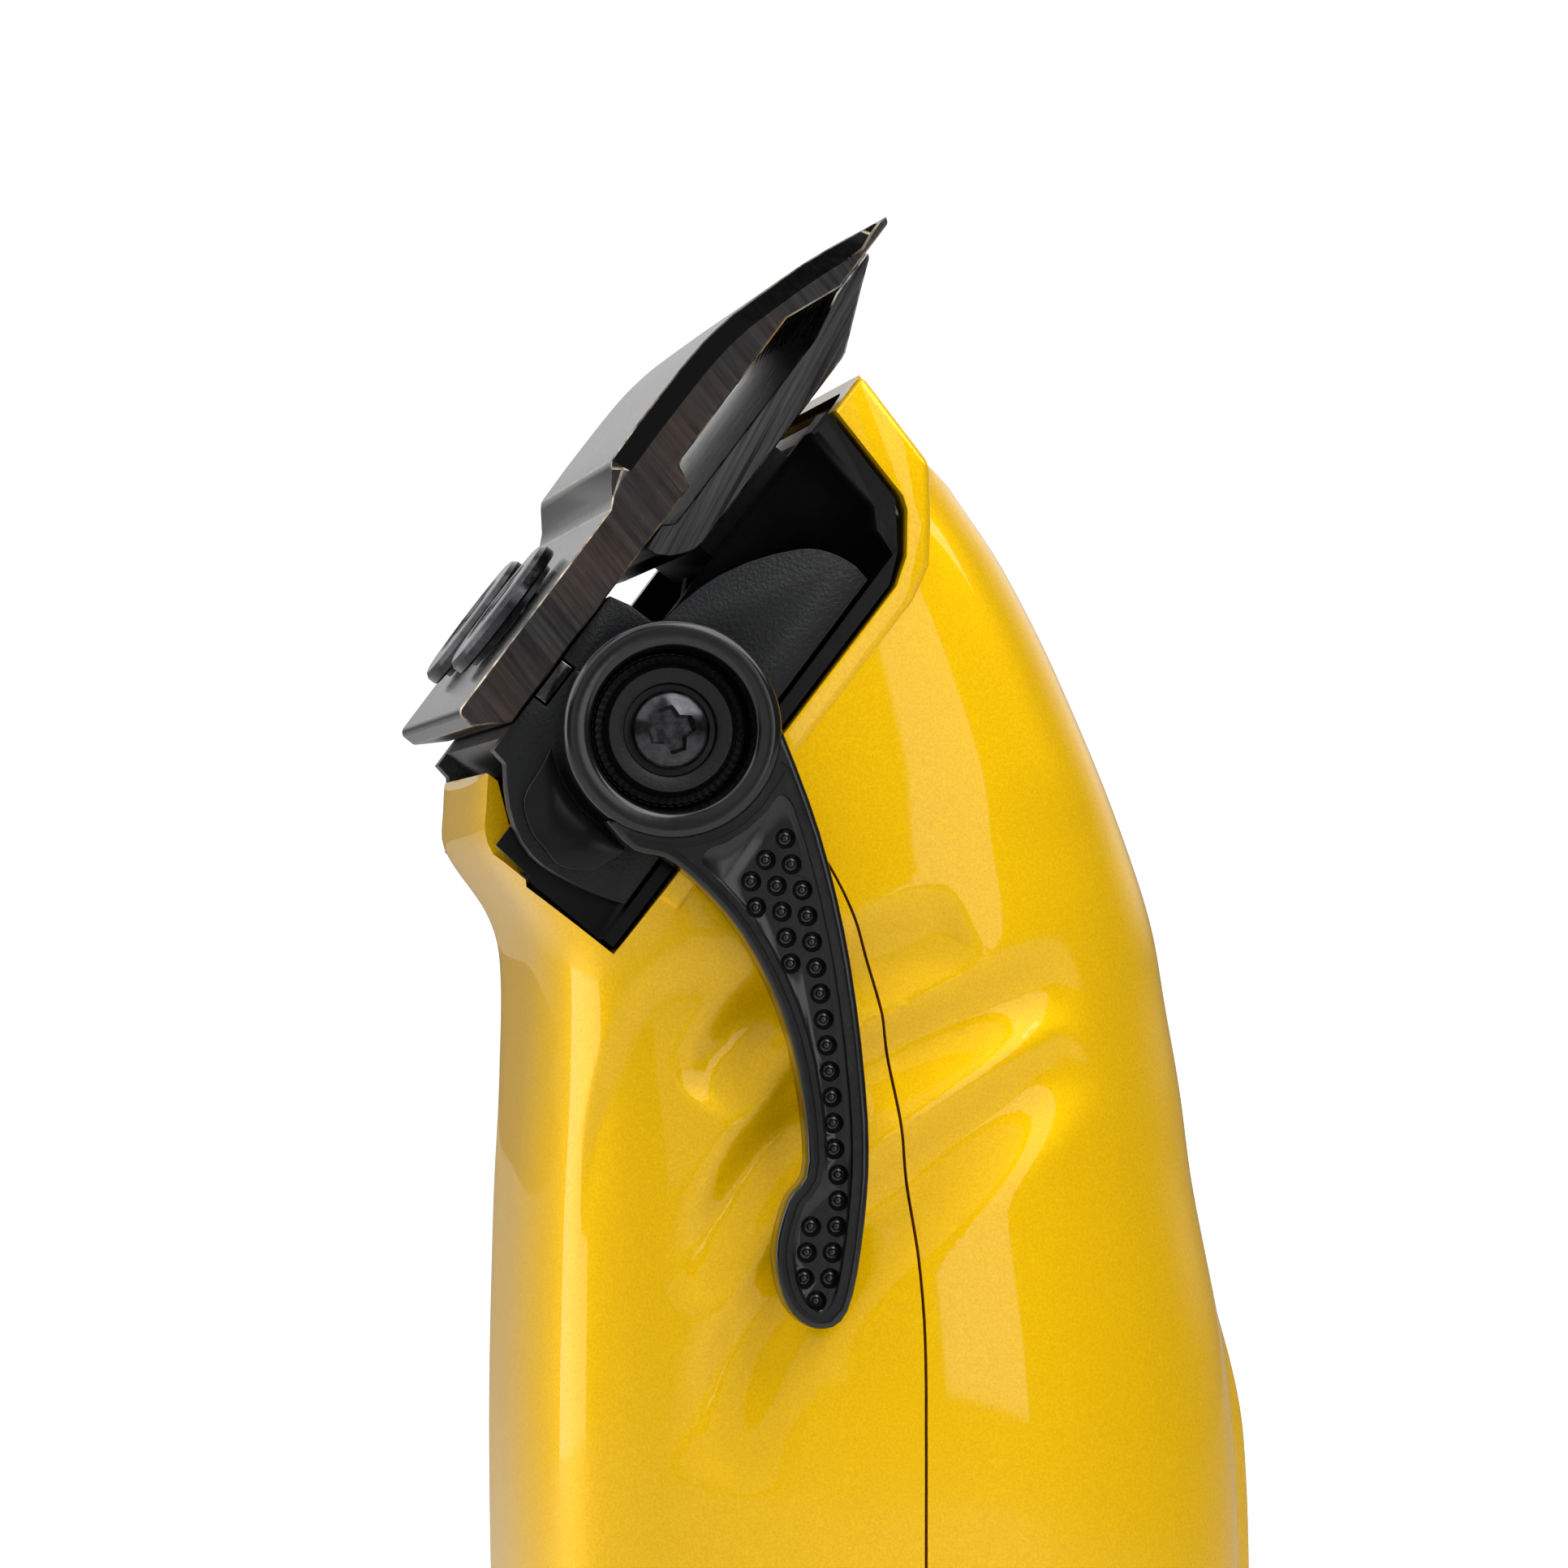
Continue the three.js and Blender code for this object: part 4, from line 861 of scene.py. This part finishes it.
def blade_steel():
    """Dark plated steel with brown patches and black ground sides."""
    colour = tuple(bpy.context.scene.clipper_colours.steel)
    return metal(
        "blade_steel", colour, 0.22, stretch=(120.0, 3500.0, 3500.0), turn=(0.0, 0.9, 0.0), depth=0.000012,
        contrast=0.2, worn=(0.6, 0.5, 0.38), amount=0.55, tint=(0.13, 0.08, 0.055),
        strip=(0.012, 0.012, 0.013))


def cutter_steel():
    """Dark steel with coarse milled lines."""
    return metal(
        "cutter_steel", (0.05, 0.049, 0.051), 0.3, stretch=(2600.0, 2600.0, 60.0), turn=(0.0, 0.5, 0.0),
        depth=0.00003, contrast=0.6)


def black_oxide():
    """Blackened screws, worn brighter at their edges."""
    return metal(
        "black_oxide", (0.05, 0.05, 0.053), 0.2, stretch=(2000.0, 2000.0, 2000.0), worn=(0.25, 0.24, 0.23),
        amount=0.8)


def bright_steel():
    """Bare steel inside the housing."""
    return metal("bright_steel", (0.52, 0.53, 0.55), 0.28)


def bronze():
    """The cam's bearing."""
    return metal("bronze", (0.6, 0.42, 0.16), 0.35)


def board_mask():
    """The circuit board's green."""
    return moulded("board_mask", (0.01, 0.1, 0.04), 0.35, 900.0, 0.00001)


def cell_sleeve():
    """The shrink sleeve round the cell."""
    return moulded("cell_sleeve", (0.04, 0.13, 0.38), 0.3, 600.0, 0.00001)


def wire_red():
    """The red wire's sleeve."""
    return moulded("wire_red", (0.4, 0.015, 0.012), 0.4, 1200.0, 0.00001)


def clear_lens():
    """A milky light guide."""
    return moulded("clear_lens", (0.7, 0.76, 0.8), 0.15, 500.0, 0.000005, worn=(0.8, 0.82, 0.85))


def plain_floor():
    """The pale floor, glowing just enough to stay white away from the clipper's shadow."""
    material, tree, shader = new_finish("pale_floor")
    if tree:
        shader.inputs["Base Color"].default_value = (0.6, 0.6, 0.6, 1.0)
        shader.inputs["Roughness"].default_value = 0.6
        shader.inputs["Emission Color"].default_value = (1.0, 1.0, 1.0, 1.0)
        rays = add_node(tree, "ShaderNodeLightPath")
        glow = ramp(tree, rays.outputs["Is Camera Ray"], 0.0, 1.0, 0.02, 0.95)
        tree.links.new(glow, shader.inputs["Emission Strength"])
    return material


# ---- the stage ----
TARGET = Vector((-4.75, 0.0, HANDLE_HEIGHT + 13.1))  # what the camera faces
CAMERA_TURN = -7.0  # degrees to the right of the lever side
CAMERA_RISE = -1.1
CAMERA_DISTANCE = 480.0
FRAME_WIDTH = 96.6  # what the camera takes in at the target
FLOOR_RADIUS = 6000.0
FLOOR_GAP = 0.1
LIT = Vector((0, 0, 100))  # what the softboxes face
SOFTBOXES = [
    # name, turn, rise, distance, width, height, power
    ("key_softbox", 42, 48, 900, 800, 700, 7),
    ("top_softbox", -10, 85, 800, 800, 800, 3.2),
    ("left_softbox", -60, 40, 900, 700, 700, 2.2),
    ("left_back_softbox", -100, 14, 900, 700, 900, 5.0),
    ("front_left_softbox", -13, 18, 900, 500, 700, 0.55),
    ("front_right_softbox", 15, 22, 900, 200, 850, 1.05),
]


def aimed(obj, place, target):
    """Puts a light or a camera at a place and points it at a target, in millimetres."""
    obj.location = place * MM
    obj.rotation_euler = (target - place).to_track_quat("-Z", "Y").to_euler()


def direction(turn, rise):
    """The direction at an angle to the right of the lever side, and above it, in degrees."""
    a, e = math.radians(turn), math.radians(rise)
    return Vector((math.sin(a) * math.cos(e), -math.cos(a) * math.cos(e), math.sin(e)))


def soft_light(name, turn, rise, distance, width, height, power):
    """A softbox that faces the clipper, by its direction and size."""
    light = bpy.data.lights.new(name, "AREA")
    light.shape = "RECTANGLE"
    light.size = width * MM
    light.size_y = height * MM
    light.energy = power
    obj = bpy.data.objects.new(name, light)
    bpy.context.scene.collection.objects.link(obj)
    aimed(obj, LIT + direction(turn, rise) * distance, LIT)


def surroundings():
    """A white room: pure white to the camera, and brighter behind the clipper than in front of it."""
    world = bpy.data.worlds.new("surroundings")
    world.use_nodes = True
    tree = world.node_tree
    seen = tree.nodes["Background"]
    seen.inputs["Color"].default_value = (1, 1, 1, 1)
    seen.inputs["Strength"].default_value = 1.1
    facing = add_node(tree, "ShaderNodeSeparateXYZ")
    tree.links.new(add_node(tree, "ShaderNodeTexCoord").outputs["Generated"], facing.inputs[0])
    lit = add_node(tree, "ShaderNodeBackground", {"Color": (1, 1, 1, 1)})
    behind = ramp(tree, facing.outputs["Y"], 0.2, 0.8)
    above = ramp(tree, facing.outputs["Z"], 0.04, 0.16)
    glow = ramp(tree, maths(tree, "MULTIPLY", behind, above), 0.0, 1.0, 0.14, 0.95)
    tree.links.new(glow, lit.inputs["Strength"])
    rays = add_node(tree, "ShaderNodeLightPath")
    pick = tree.nodes.new("ShaderNodeMixShader")
    tree.links.new(rays.outputs["Is Camera Ray"], pick.inputs[0])
    tree.links.new(lit.outputs[0], pick.inputs[1])
    tree.links.new(seen.outputs[0], pick.inputs[2])
    tree.links.new(pick.outputs[0], tree.nodes["World Output"].inputs["Surface"])
    return world


class CLIPPER_OT_stage(Operator):
    """Make the floor, the lights and the camera"""

    bl_idname = "clipper.stage"
    bl_label = "Stage"

    def execute(self, context):
        scene = context.scene
        shape = bmesh.new()
        bmesh.ops.create_circle(shape, cap_ends=True, segments=96, radius=FLOOR_RADIUS)
        bmesh.ops.recalc_face_normals(shape, faces=shape.faces)
        moved(shape, Matrix.Scale(MM, 4) @ Matrix.Translation((0, 0, -FLOOR_GAP)))
        mesh = bpy.data.meshes.new("floor")
        shape.to_mesh(mesh)
        shape.free()
        mesh.materials.append(plain_floor())
        floor = bpy.data.objects.new("floor", mesh)
        scene.collection.objects.link(floor)

        scene.world = surroundings()
        for softbox in SOFTBOXES:
            soft_light(*softbox)

        camera = bpy.data.cameras.new("camera")
        camera.sensor_width = 36
        camera.lens = camera.sensor_width * CAMERA_DISTANCE / FRAME_WIDTH
        camera.clip_start = 0.01
        camera.clip_end = 50
        obj = bpy.data.objects.new("camera", camera)
        scene.collection.objects.link(obj)
        aimed(obj, TARGET + direction(CAMERA_TURN, CAMERA_RISE) * CAMERA_DISTANCE, TARGET)
        scene.camera = obj
        scene.view_settings.view_transform = "Standard"
        return {"FINISHED"}


# ---- the lever ----
def arm_top():
    """Height of the arm's face above the clipper's middle."""
    return -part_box("taper_lever")[0][1] / MM - 0.4


ARM_THICKNESS = 3.2
# The arm's edges, [across, down] from the pivot: its concave front edge, its rounded end and its back edge.
ARM_FRONT = [(-3.9, -5.3), (-2.2, -7.0), (0.2, -7.8), (4.1, -11.9), (6.9, -18.0), (7.9, -25.0), (6.7, -27.3)]
ARM_END = [(6.0, -30.4), (6.7, -33.4), (8.4, -34.7), (10.2, -33.7)]
ARM_BACK = [(11.2, -28.5), (11.4, -22.6), (10.4, -13.7), (8.6, -6.0), (6.05, 0.8)]


def arm_outline(top_radius):
    """The arm's edge, from its front edge round its end, closed by an arc round the pivot."""
    edge = smooth_line(ARM_FRONT + ARM_END + ARM_BACK, 4)
    edge = [p for p in edge if math.hypot(*p) > top_radius]
    start = math.degrees(math.atan2(edge[-1][1], edge[-1][0]))
    end = math.degrees(math.atan2(edge[0][1], edge[0][0]))
    return edge + arc(0, 0, top_radius, start, end, 10)[1:-1]


def distance_to(outline, x, y):
    """The distance from a place to a closed outline."""
    nearest = 1e9
    for (x0, y0), (x1, y1) in zip(outline, outline[1:] + outline[:1]):
        span = Vector((x1 - x0, y1 - y0))
        here = Vector((x - x0, y - y0))
        t = min(max(here.dot(span) / max(span.length_squared, 1e-9), 0), 1)
        nearest = min(nearest, (here - span * t).length)
    return nearest


def shrunk(outline, margin):
    """An outline that runs anticlockwise, moved inwards, without the corners that would cross."""
    line = []
    for i, here in enumerate(outline):
        before, after = outline[i - 1], outline[(i + 1) % len(outline)]
        along = Vector((after[0] - before[0], after[1] - before[1])).normalized()
        x, y = here[0] - along.y * margin, here[1] + along.x * margin
        if distance_to(outline, x, y) > margin * 0.98:
            line.append((x, y))
    return line


def arm_shape(sizes):
    """The arm, with two ridges round a sunk floor."""
    top = arm_top()
    arm = prism(arm_outline(5.6), top - ARM_THICKNESS, top, 0.4, 3, 60)
    inside = arm_outline(6.25)
    groove = cut(
        prism(shrunk(inside, 0.34), top - 0.35, top + 1),
        prism(shrunk(inside, 0.34 + sizes.ridge), top - 1, top + 2))
    arm = cut(arm, groove)
    floor = prism(shrunk(inside, 0.95), top - sizes.floor_depth, top + 1)
    corners = [e for e in edges_sharper(floor, 50) if abs(e.verts[0].co.z - e.verts[1].co.z) > 0.5]
    bevel(floor, corners, 0.7, 4)
    bottom = [e for e in edges_sharper(floor, 60) if all(v.co.z < top for v in e.verts)]
    bevel(floor, bottom, 0.2, 2)
    return cut(arm, floor), top - sizes.floor_depth


def inside_arm(x, y, outline, margin):
    """Whether a place is inside an outline by a margin."""
    inside = False
    for (x0, y0), (x1, y1) in zip(outline, outline[1:] + outline[:1]):
        if (y0 > y) != (y1 > y) and x < (x1 - x0) * (y - y0) / (y1 - y0) + x0:
            inside = not inside
    return inside and distance_to(outline, x, y) > margin


def arm_line(y, edge):
    """Where an edge of the arm is at a height below the pivot."""
    line = smooth_line(edge, 6)
    return min(line, key=lambda p: abs(p[1] - y))[0]


def dimple_places(sizes):
    """Rows of dimples down the arm, as many across as fit between its ridges."""
    places = []
    front_edge = ARM_FRONT[1:] + ARM_END[:2]
    back_edge = ARM_BACK[::-1] + ARM_END[:1:-1]
    y = -4.8
    while y > -32.5:
        on_pad = smoothstep(-24, -27, y)
        right = arm_line(y, back_edge) - 2.0 + 0.4 * on_pad
        left = arm_line(y, front_edge) + 1.35
        count = max(int((right - left) / sizes.dimple_pitch) + 1, 1)
        for i in range(count):
            here = Vector((right - i * sizes.dimple_pitch, y + 0.25 * i * (1 - on_pad)))
            if here.length > 7.8:
                places.append(here)
        y -= sizes.dimple_pitch
    places.append(Vector((8.4, -33.1)))
    return places


def dimple_tool(x, y, floor, radius):
    """A cup with a small nub in its middle."""
    nub = [(0, -0.12), (0.16, -0.14), (0.24, -0.3), (0.36, -0.34)]
    profile = nub + [(radius * 0.82, -0.2), (radius, 0.02), (radius, 0.4), (0, 0.4)]
    return turned([(r, floor + h) for r, h in profile], 14, x, y)


class CLIPPER_OT_lever(Operator):
    """Make the taper lever with its ring and dimpled arm"""

    bl_idname = "clipper.lever"
    bl_label = "Taper lever"

    def execute(self, context):
        sizes = context.scene.clipper_lever
        arm, floor = arm_shape(sizes)
        outline = arm_outline(7.1)
        places = [p for p in dimple_places(sizes) if inside_arm(p.x, p.y, outline, 1.3)]
        arm = cut(arm, gathered(*[dimple_tool(p.x, p.y, floor, sizes.dimple_radius) for p in places]))
        top = arm_top() + 0.4
        back = 22.8
        r, c = sizes.ring_radius, sizes.cup_radius
        rim_low = top - 0.55
        profile = [(0, back), (4.9, back), (r - 0.3, back + 2.4), (r, back + 2.8), (r, rim_low)]
        profile += arc(r - 0.5, rim_low, 0.5, 15, 90, 4)
        profile += arc(c + 0.42, rim_low + 0.05, 0.4, 90, 180, 4)
        profile += [(c - 0.1, top - 1.4), (c - 0.15, 26.0), (c - 0.35, 25.8), (0, 25.8)]
        ring = cut(turned(profile, 96), rod(1.7, back - 1, top))
        lever = join(arm, ring)
        finish_piece(
            lever, LEVER, "taper_lever_finished", "lever", lever_black(), ["taper_lever"], 40)
        return {"FINISHED"}


def cross_tool(size, depth, top, turn):
    """A driver's cross, narrowing downwards."""
    a, b = size / 2, size * 0.16
    outline = [
        (a, -b), (a, b), (b * 1.5, b * 1.5), (b, a), (-b, a), (-b * 1.5, b * 1.5), (-a, b), (-a, -b),
        (-b * 1.5, -b * 1.5), (-b, -a), (b, -a), (b * 1.5, -b * 1.5)]
    shape = prism(outline, top - depth, top + 0.6)
    for vert in shape.verts:
        if vert.co.z < top - depth / 2:
            vert.co.x *= 0.7
            vert.co.y *= 0.7
    return moved(shape, Matrix.Rotation(turn, 4, "Z"))


def pan_head(radius, seat, rise):
    """A domed head's profile, from the axis at its seat round to the axis at its top."""
    dome = rise * 0.55
    sphere = (radius**2 + dome**2) / (2 * dome)
    spread = math.degrees(math.asin(radius / sphere))
    return [(0, seat), (radius, seat)] + arc(0, seat + rise - sphere, sphere, 90 - spread, 90, 10)


class CLIPPER_OT_lever_screw(Operator):
    """Make the knurled disc and the cross-head screw in the lever's cup"""

    bl_idname = "clipper.lever_screw"
    bl_label = "Lever screw"

    def execute(self, context):
        base = -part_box("lever_boss")[1][1] / MM
        top = -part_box("lever_boss")[0][1] / MM
        profile = [(0, base), (4.35, base), (4.45, base + 0.15), (4.35, base + 0.45), (3.95, base + 0.5)]
        profile += [(3.95, top - 0.35), (3.6, top), (3.0, top), (2.75, top - 0.12)]
        profile += [(2.65, top - 0.6), (0, top - 0.6)]
        disc = turned(profile, 120)
        for vert in disc.verts:
            radius = Vector((vert.co.x, vert.co.y)).length
            if 3.9 < radius and vert.co.z > base + 0.1:
                angle = math.atan2(vert.co.y, vert.co.x)
                if round(angle / (2 * math.pi) * 120) % 2:
                    vert.co.z -= 0.12
                    vert.co.x *= 0.985
                    vert.co.y *= 0.985
        disc = cut(disc, rod(1.7, base - 1, top + 1))
        finish_piece(disc, LEVER, "lever_disc", "lever", washer_black(), ["lever_boss"], 28)
        seat = top - 0.45
        head_top = -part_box("lever_screw")[0][1] / MM
        screw = turned(pan_head(2.3, seat, head_top - seat), 64)
        soften_edges(screw, 0.12, 30, 2)
        screw = cut(screw, cross_tool(3.3, 1.0, head_top, 0.3))
        screw = join(screw, rod(1.1, 20.6, seat + 0.3, steps=24))
        finish_piece(
            screw, LEVER, "lever_screw_finished", "lever", black_oxide(), ["lever_screw"], 30)
        return {"FINISHED"}


# ---- the blades ----
def tooth_slots(half, pitch, root, tip, low, high, narrow, wide):
    """Slots that leave a row of pointed teeth."""
    count = int((2 * half - 2.4) / pitch)
    slots = []
    for i in range(count + 1):
        w = (i - count / 2) * pitch
        slot = bmesh.new()
        corners = [(root, narrow), (root + 0.6, narrow * 1.3), (tip + 1, wide), (tip + 1, -wide)]
        corners += [(root + 0.6, -narrow * 1.3), (root, -narrow)]
        face = slot.faces.new([slot.verts.new((u, low, w + s)) for u, s in corners])
        raise_face(slot, face, (0, high - low, 0))
        slots.append(slot)
    return gathered(*slots)


def screw_hole(radius, u, w):
    """A hole through a blade, along the head's v."""
    return moved(rod(radius, -20, 20), Matrix.Translation((u, 0, w)) @ Matrix.Rotation(-math.pi / 2, 4, "X"))


def screw_centre(node):
    """A screw's place in the head's view."""
    low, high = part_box(node)
    middle = HEAD.inverted() @ ((Vector(low) + Vector(high)) / 2)
    return middle.x, middle.z


def loft(sections):
    """A solid through outlines that have the same number of points: (z, points), in order."""
    shape = bmesh.new()
    loops = []
    for z, points in sections:
        verts = [shape.verts.new((x, y, z)) for x, y in points]
        loops.append([shape.edges.new(pair) for pair in zip(verts, verts[1:] + verts[:1])])
    for first, second in zip(loops, loops[1:]):
        bmesh.ops.bridge_loops(shape, edges=first + second)
    for loop in (loops[0], loops[-1]):
        bmesh.ops.edgeloop_fill(shape, edges=loop)
    bmesh.ops.recalc_face_normals(shape, faces=shape.faces)
    return shape


BLADE_FACE = 10.3  # from the pivot out to the fixed blade's face
KNEE = 9.0  # along the blade, where its ground part starts


def blade_section(lowered):
    """The fixed blade's section, with the ground part of its outer face lowered."""
    face, inner = BLADE_FACE, 7.4
    under = [(-4.9, inner), (12.4, inner), (12.7, inner + 0.5), (13.0, inner + 1.2), (13.5, inner + 1.35)]
    under += [(23.8, inner + 1.4), (27.2, inner), (31.9, inner)]
    ground = smooth_line(
        [(32.1, 7.75), (27.8, 9.65), (24.0, 10.9), (21.4, 11.6), (18.6, 11.95), (13.6, 12.05)], 5)
    ground += [(10.9, 12.0)]
    knee = [(10.5, 11.75), (9.2, 10.65), (8.5, face)]
    heel = [(-6.0, face)] + arc(-6.0, face - 0.5, 0.5, 105, 165, 3) + [(-6.5, 9.1)]
    dropped = []
    for u, v in ground:
        near_tip = smoothstep(32.1, 29.0, u) if u > 29.0 else 1.0
        dropped.append((u + 0.1 * lowered, v - lowered * near_tip))
    return under + dropped + [(u + 0.3 * lowered, v - lowered * 0.45) for u, v in knee[:1]] + knee[1:] + heel


class CLIPPER_OT_fixed_blade(Operator):
    """Make the fixed blade with its knee, its ground sides and its teeth"""

    bl_idname = "clipper.fixed_blade"
    bl_label = "Fixed blade"

    def execute(self, context):
        sizes = context.scene.clipper_blades
        half = node_size("fixed_blade", 1) / 2
        flat = half - sizes.strip_width
        low, full = blade_section(sizes.strip_drop), blade_section(0)
        blade = loft([(-half, low), (-flat, full), (flat, full), (half, low)])
        blade.normal_update()

        def is_strip(facet):
            middle = facet.calc_center_median()
            return abs(middle.z) > flat and facet.normal.y > 0.1 and middle.x > KNEE

        mark_faces(blade, "strip", is_strip)
        soften_edges(blade, sizes.edge, 24, 1)
        u0, w0 = screw_centre("blade_screw_left")
        blade = cut(blade, screw_hole(2.2, u0, w0), screw_hole(2.2, u0, -w0))
        blade = cut(blade, tooth_slots(half, sizes.tooth_pitch, 26.4, 32.2, 5, 14, 0.24, 0.62))
        finish_piece(
            blade, HEAD, "fixed_blade_ground", "carrier", blade_steel(), ["fixed_blade"], 22)
        return {"FINISHED"}


class CLIPPER_OT_cutter(Operator):
    """Make the cutter with its milled top and its teeth"""

    bl_idname = "clipper.cutter"
    bl_label = "Cutter"

    def execute(self, context):
        sizes = context.scene.clipper_blades
        half = node_size("cutter_blade", 1) / 2
        outline = [
            (30.3, 7.2), (30.1, 6.9), (28.6, 6.3), (24.7, 4.65), (24.3, 4.6), (10.6, 4.6), (9.9, 4.75),
            (9.3, 5.15), (8.7, 5.7), (8.3, 6.4), (8.2, 7.2), (10.0, 7.2), (10.3, 6.8), (10.6, 6.6),
            (24.3, 6.6), (27.2, 7.2)]
        cutter = prism(outline, -half, half)
        soften_edges(cutter, 0.1, 24, 1)
        cutter = cut(cutter, tooth_slots(half, sizes.cutter_pitch, 25.4, 30.3, 3, 9, 0.4, 0.72))
        finish_piece(
            cutter, HEAD, "cutter_ground", "cutter", cutter_steel(), ["cutter_blade"], 22)
        return {"FINISHED"}


class CLIPPER_OT_blade_screws(Operator):
    """Make the two big-headed blade screws"""

    bl_idname = "clipper.blade_screws"
    bl_label = "Blade screws"

    def execute(self, context):
        for node in ("blade_screw_left", "blade_screw_right"):
            u, w = screw_centre(node)
            seat = BLADE_FACE + 0.15
            cap = [
                (3.7, 0), (3.75, 0.35), (4.5, 0.37), (4.62, 0.5), (4.62, 1.0), (4.4, 1.3), (4.1, 1.38),
                (2.9, 1.4), (2.75, 1.3), (0, 1.3)]
            profile = [(0, 4.8), (2.0, 4.8), (2.0, seat)] + [(r, seat + h) for r, h in cap]
            screw = cut(turned(profile, 72), cross_tool(4.3, 1.1, seat + 1.3, 0.4))
            screw = moved(screw, Matrix.Translation((u, 0, w)) @ Matrix.Rotation(-math.pi / 2, 4, "X"))
            finish_piece(
                screw, HEAD, node + "_finished", "carrier", black_oxide(), [node], 30)
        return {"FINISHED"}


# ---- the carrier, the chassis and what is left of the CAD pieces ----
ROUNDED = [
    # node, body, slot, finish, width of the rounded edges
    ("blade_carrier", "carrier", "black_texture", texture_black, 0.22),
    ("chassis", "housing", "black_gloss", gloss_black, 0.15),
    ("blade_nut_plate", "carrier", "blade_steel", black_oxide, 0.06),
    ("drive_yoke", "cutter", "black_texture", satin_black, 0.15),
    ("tail_cap", "housing", "black_matte", satin_black, 0.25),
    ("switch_knob", "switch", "black_gloss", gloss_black, 0.2),
    ("guide_pin", "housing", "black_gloss", gloss_black, 0.12),
    ("guide_screw", "housing", "black_steel", black_oxide, 0.08),
    ("indicator_lens", "housing", "lens_clear", clear_lens, 0.15),
    ("charge_socket", "housing", "bright_steel", bright_steel, 0.05),
] + [(screw, "housing", "black_steel", black_oxide, 0.08) for screw in SHELL_SCREWS]

INNER = {
    bright_steel: [
        "battery_tab_positive", "battery_tab_negative", "motor_can", "motor_shaft", "cam_sleeve",
        "motor_screw_left", "motor_screw_right", "yoke_screw_left", "yoke_screw_right", "tension_spring",
        "lever_cam", "cam_wave_washer"],
    satin_black: [
        "charge_socket_tongue", "motor_end_bell", "motor_bracket", "motor_damper", "motor_wire_black",
        "switch_body"],
    cutter_steel: ["cam_clip"],
    bronze: ["cam_bearing"],
    board_mask: ["circuit_board"],
    cell_sleeve: ["battery_cell"],
    wire_red: ["motor_wire_red"],
}


class CLIPPER_OT_mouldings(Operator):
    """Round the edges of the carrier, the chassis and the other plain mouldings"""

    bl_idname = "clipper.mouldings"
    bl_label = "Mouldings"

    def execute(self, context):
        for node, body, slot, finish, width in ROUNDED:
            rounded_copy(node, node + "_finished", body, finish(), width)
        return {"FINISHED"}


class CLIPPER_OT_inner_pieces(Operator):
    """Give the pieces inside the housing their finishes"""

    bl_idname = "clipper.inner_pieces"
    bl_label = "Inner pieces"

    def execute(self, context):
        for finish, nodes in INNER.items():
            for node in nodes:
                slots = frame["nodes"][node].data.materials
                slots.clear()
                slots.append(finish())
        return {"FINISHED"}


class CLIPPER_OT_carrier_foot(Operator):
    """Make the glossy pad at the foot of the carrier's cheek"""

    bl_idname = "clipper.carrier_foot"
    bl_label = "Carrier foot"

    def execute(self, context):
        middle = [
            (-4.0, 4.9), (-6.2, 4.5), (-8.1, 4.2), (-9.3, 2.8), (-9.7, 1.5), (-9.95, 0.1), (-9.1, -1.5),
            (-8.0, -2.0), (-7.0, -2.3), (-6.35, -1.6), (-6.2, 0.2), (-5.0, 3.4), (-4.0, 4.9)]
        outline = smooth_line(middle, 4)[:-1]
        top = -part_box("blade_carrier")[0][1] / MM + 0.12
        pad = cut(prism(outline[::-1], 22.0, top), rod(6.75, 20, 30, steps=96))
        rim = [e for e in edges_sharper(pad, 50) if all(v.co.z > top - 0.01 for v in e.verts)]
        bevel(pad, rim, 0.3, 4)
        finish_piece(pad, HEAD, "carrier_foot", "carrier", gloss_black(), angle=40)
        return {"FINISHED"}


OPERATORS = (
    CLIPPER_OT_stage, CLIPPER_OT_housing, CLIPPER_OT_lever, CLIPPER_OT_lever_screw, CLIPPER_OT_fixed_blade,
    CLIPPER_OT_cutter, CLIPPER_OT_blade_screws, CLIPPER_OT_carrier_foot, CLIPPER_OT_mouldings,
    CLIPPER_OT_inner_pieces)
GROUPS = {
    "clipper_housing": ClipperHousing, "clipper_lever": ClipperLever,
    "clipper_blades": ClipperBlades, "clipper_colours": ClipperColours}


class CLIPPER_PT_panel(Panel):
    """The clipper's operators and sizes"""

    bl_idname = "CLIPPER_PT_panel"
    bl_label = "Hair Clipper"
    bl_space_type = "VIEW_3D"
    bl_region_type = "UI"
    bl_category = "Clipper"

    def draw(self, context):
        for operator in OPERATORS:
            self.layout.operator(operator.bl_idname)
        for name, group in GROUPS.items():
            box = self.layout.box()
            for key in group.__annotations__:
                box.prop(getattr(context.scene, name), key)


def register():
    """Make the operators, the panel and the sizes known."""
    for group in GROUPS.values():
        bpy.utils.register_class(group)
    for operator in OPERATORS:
        bpy.utils.register_class(operator)
    bpy.utils.register_class(CLIPPER_PT_panel)
    for name, group in GROUPS.items():
        setattr(bpy.types.Scene, name, PointerProperty(type=group))


def unregister():
    """Take them away again."""
    for name in GROUPS:
        delattr(bpy.types.Scene, name)
    bpy.utils.unregister_class(CLIPPER_PT_panel)
    for operator in reversed(OPERATORS):
        bpy.utils.unregister_class(operator)
    for group in GROUPS.values():
        bpy.utils.unregister_class(group)


def main():
    """Make every piece."""
    register()
    for operator in OPERATORS:
        group, name = operator.bl_idname.split(".")
        getattr(getattr(bpy.ops, group), name)()


if __name__ == "__main__":
    main()
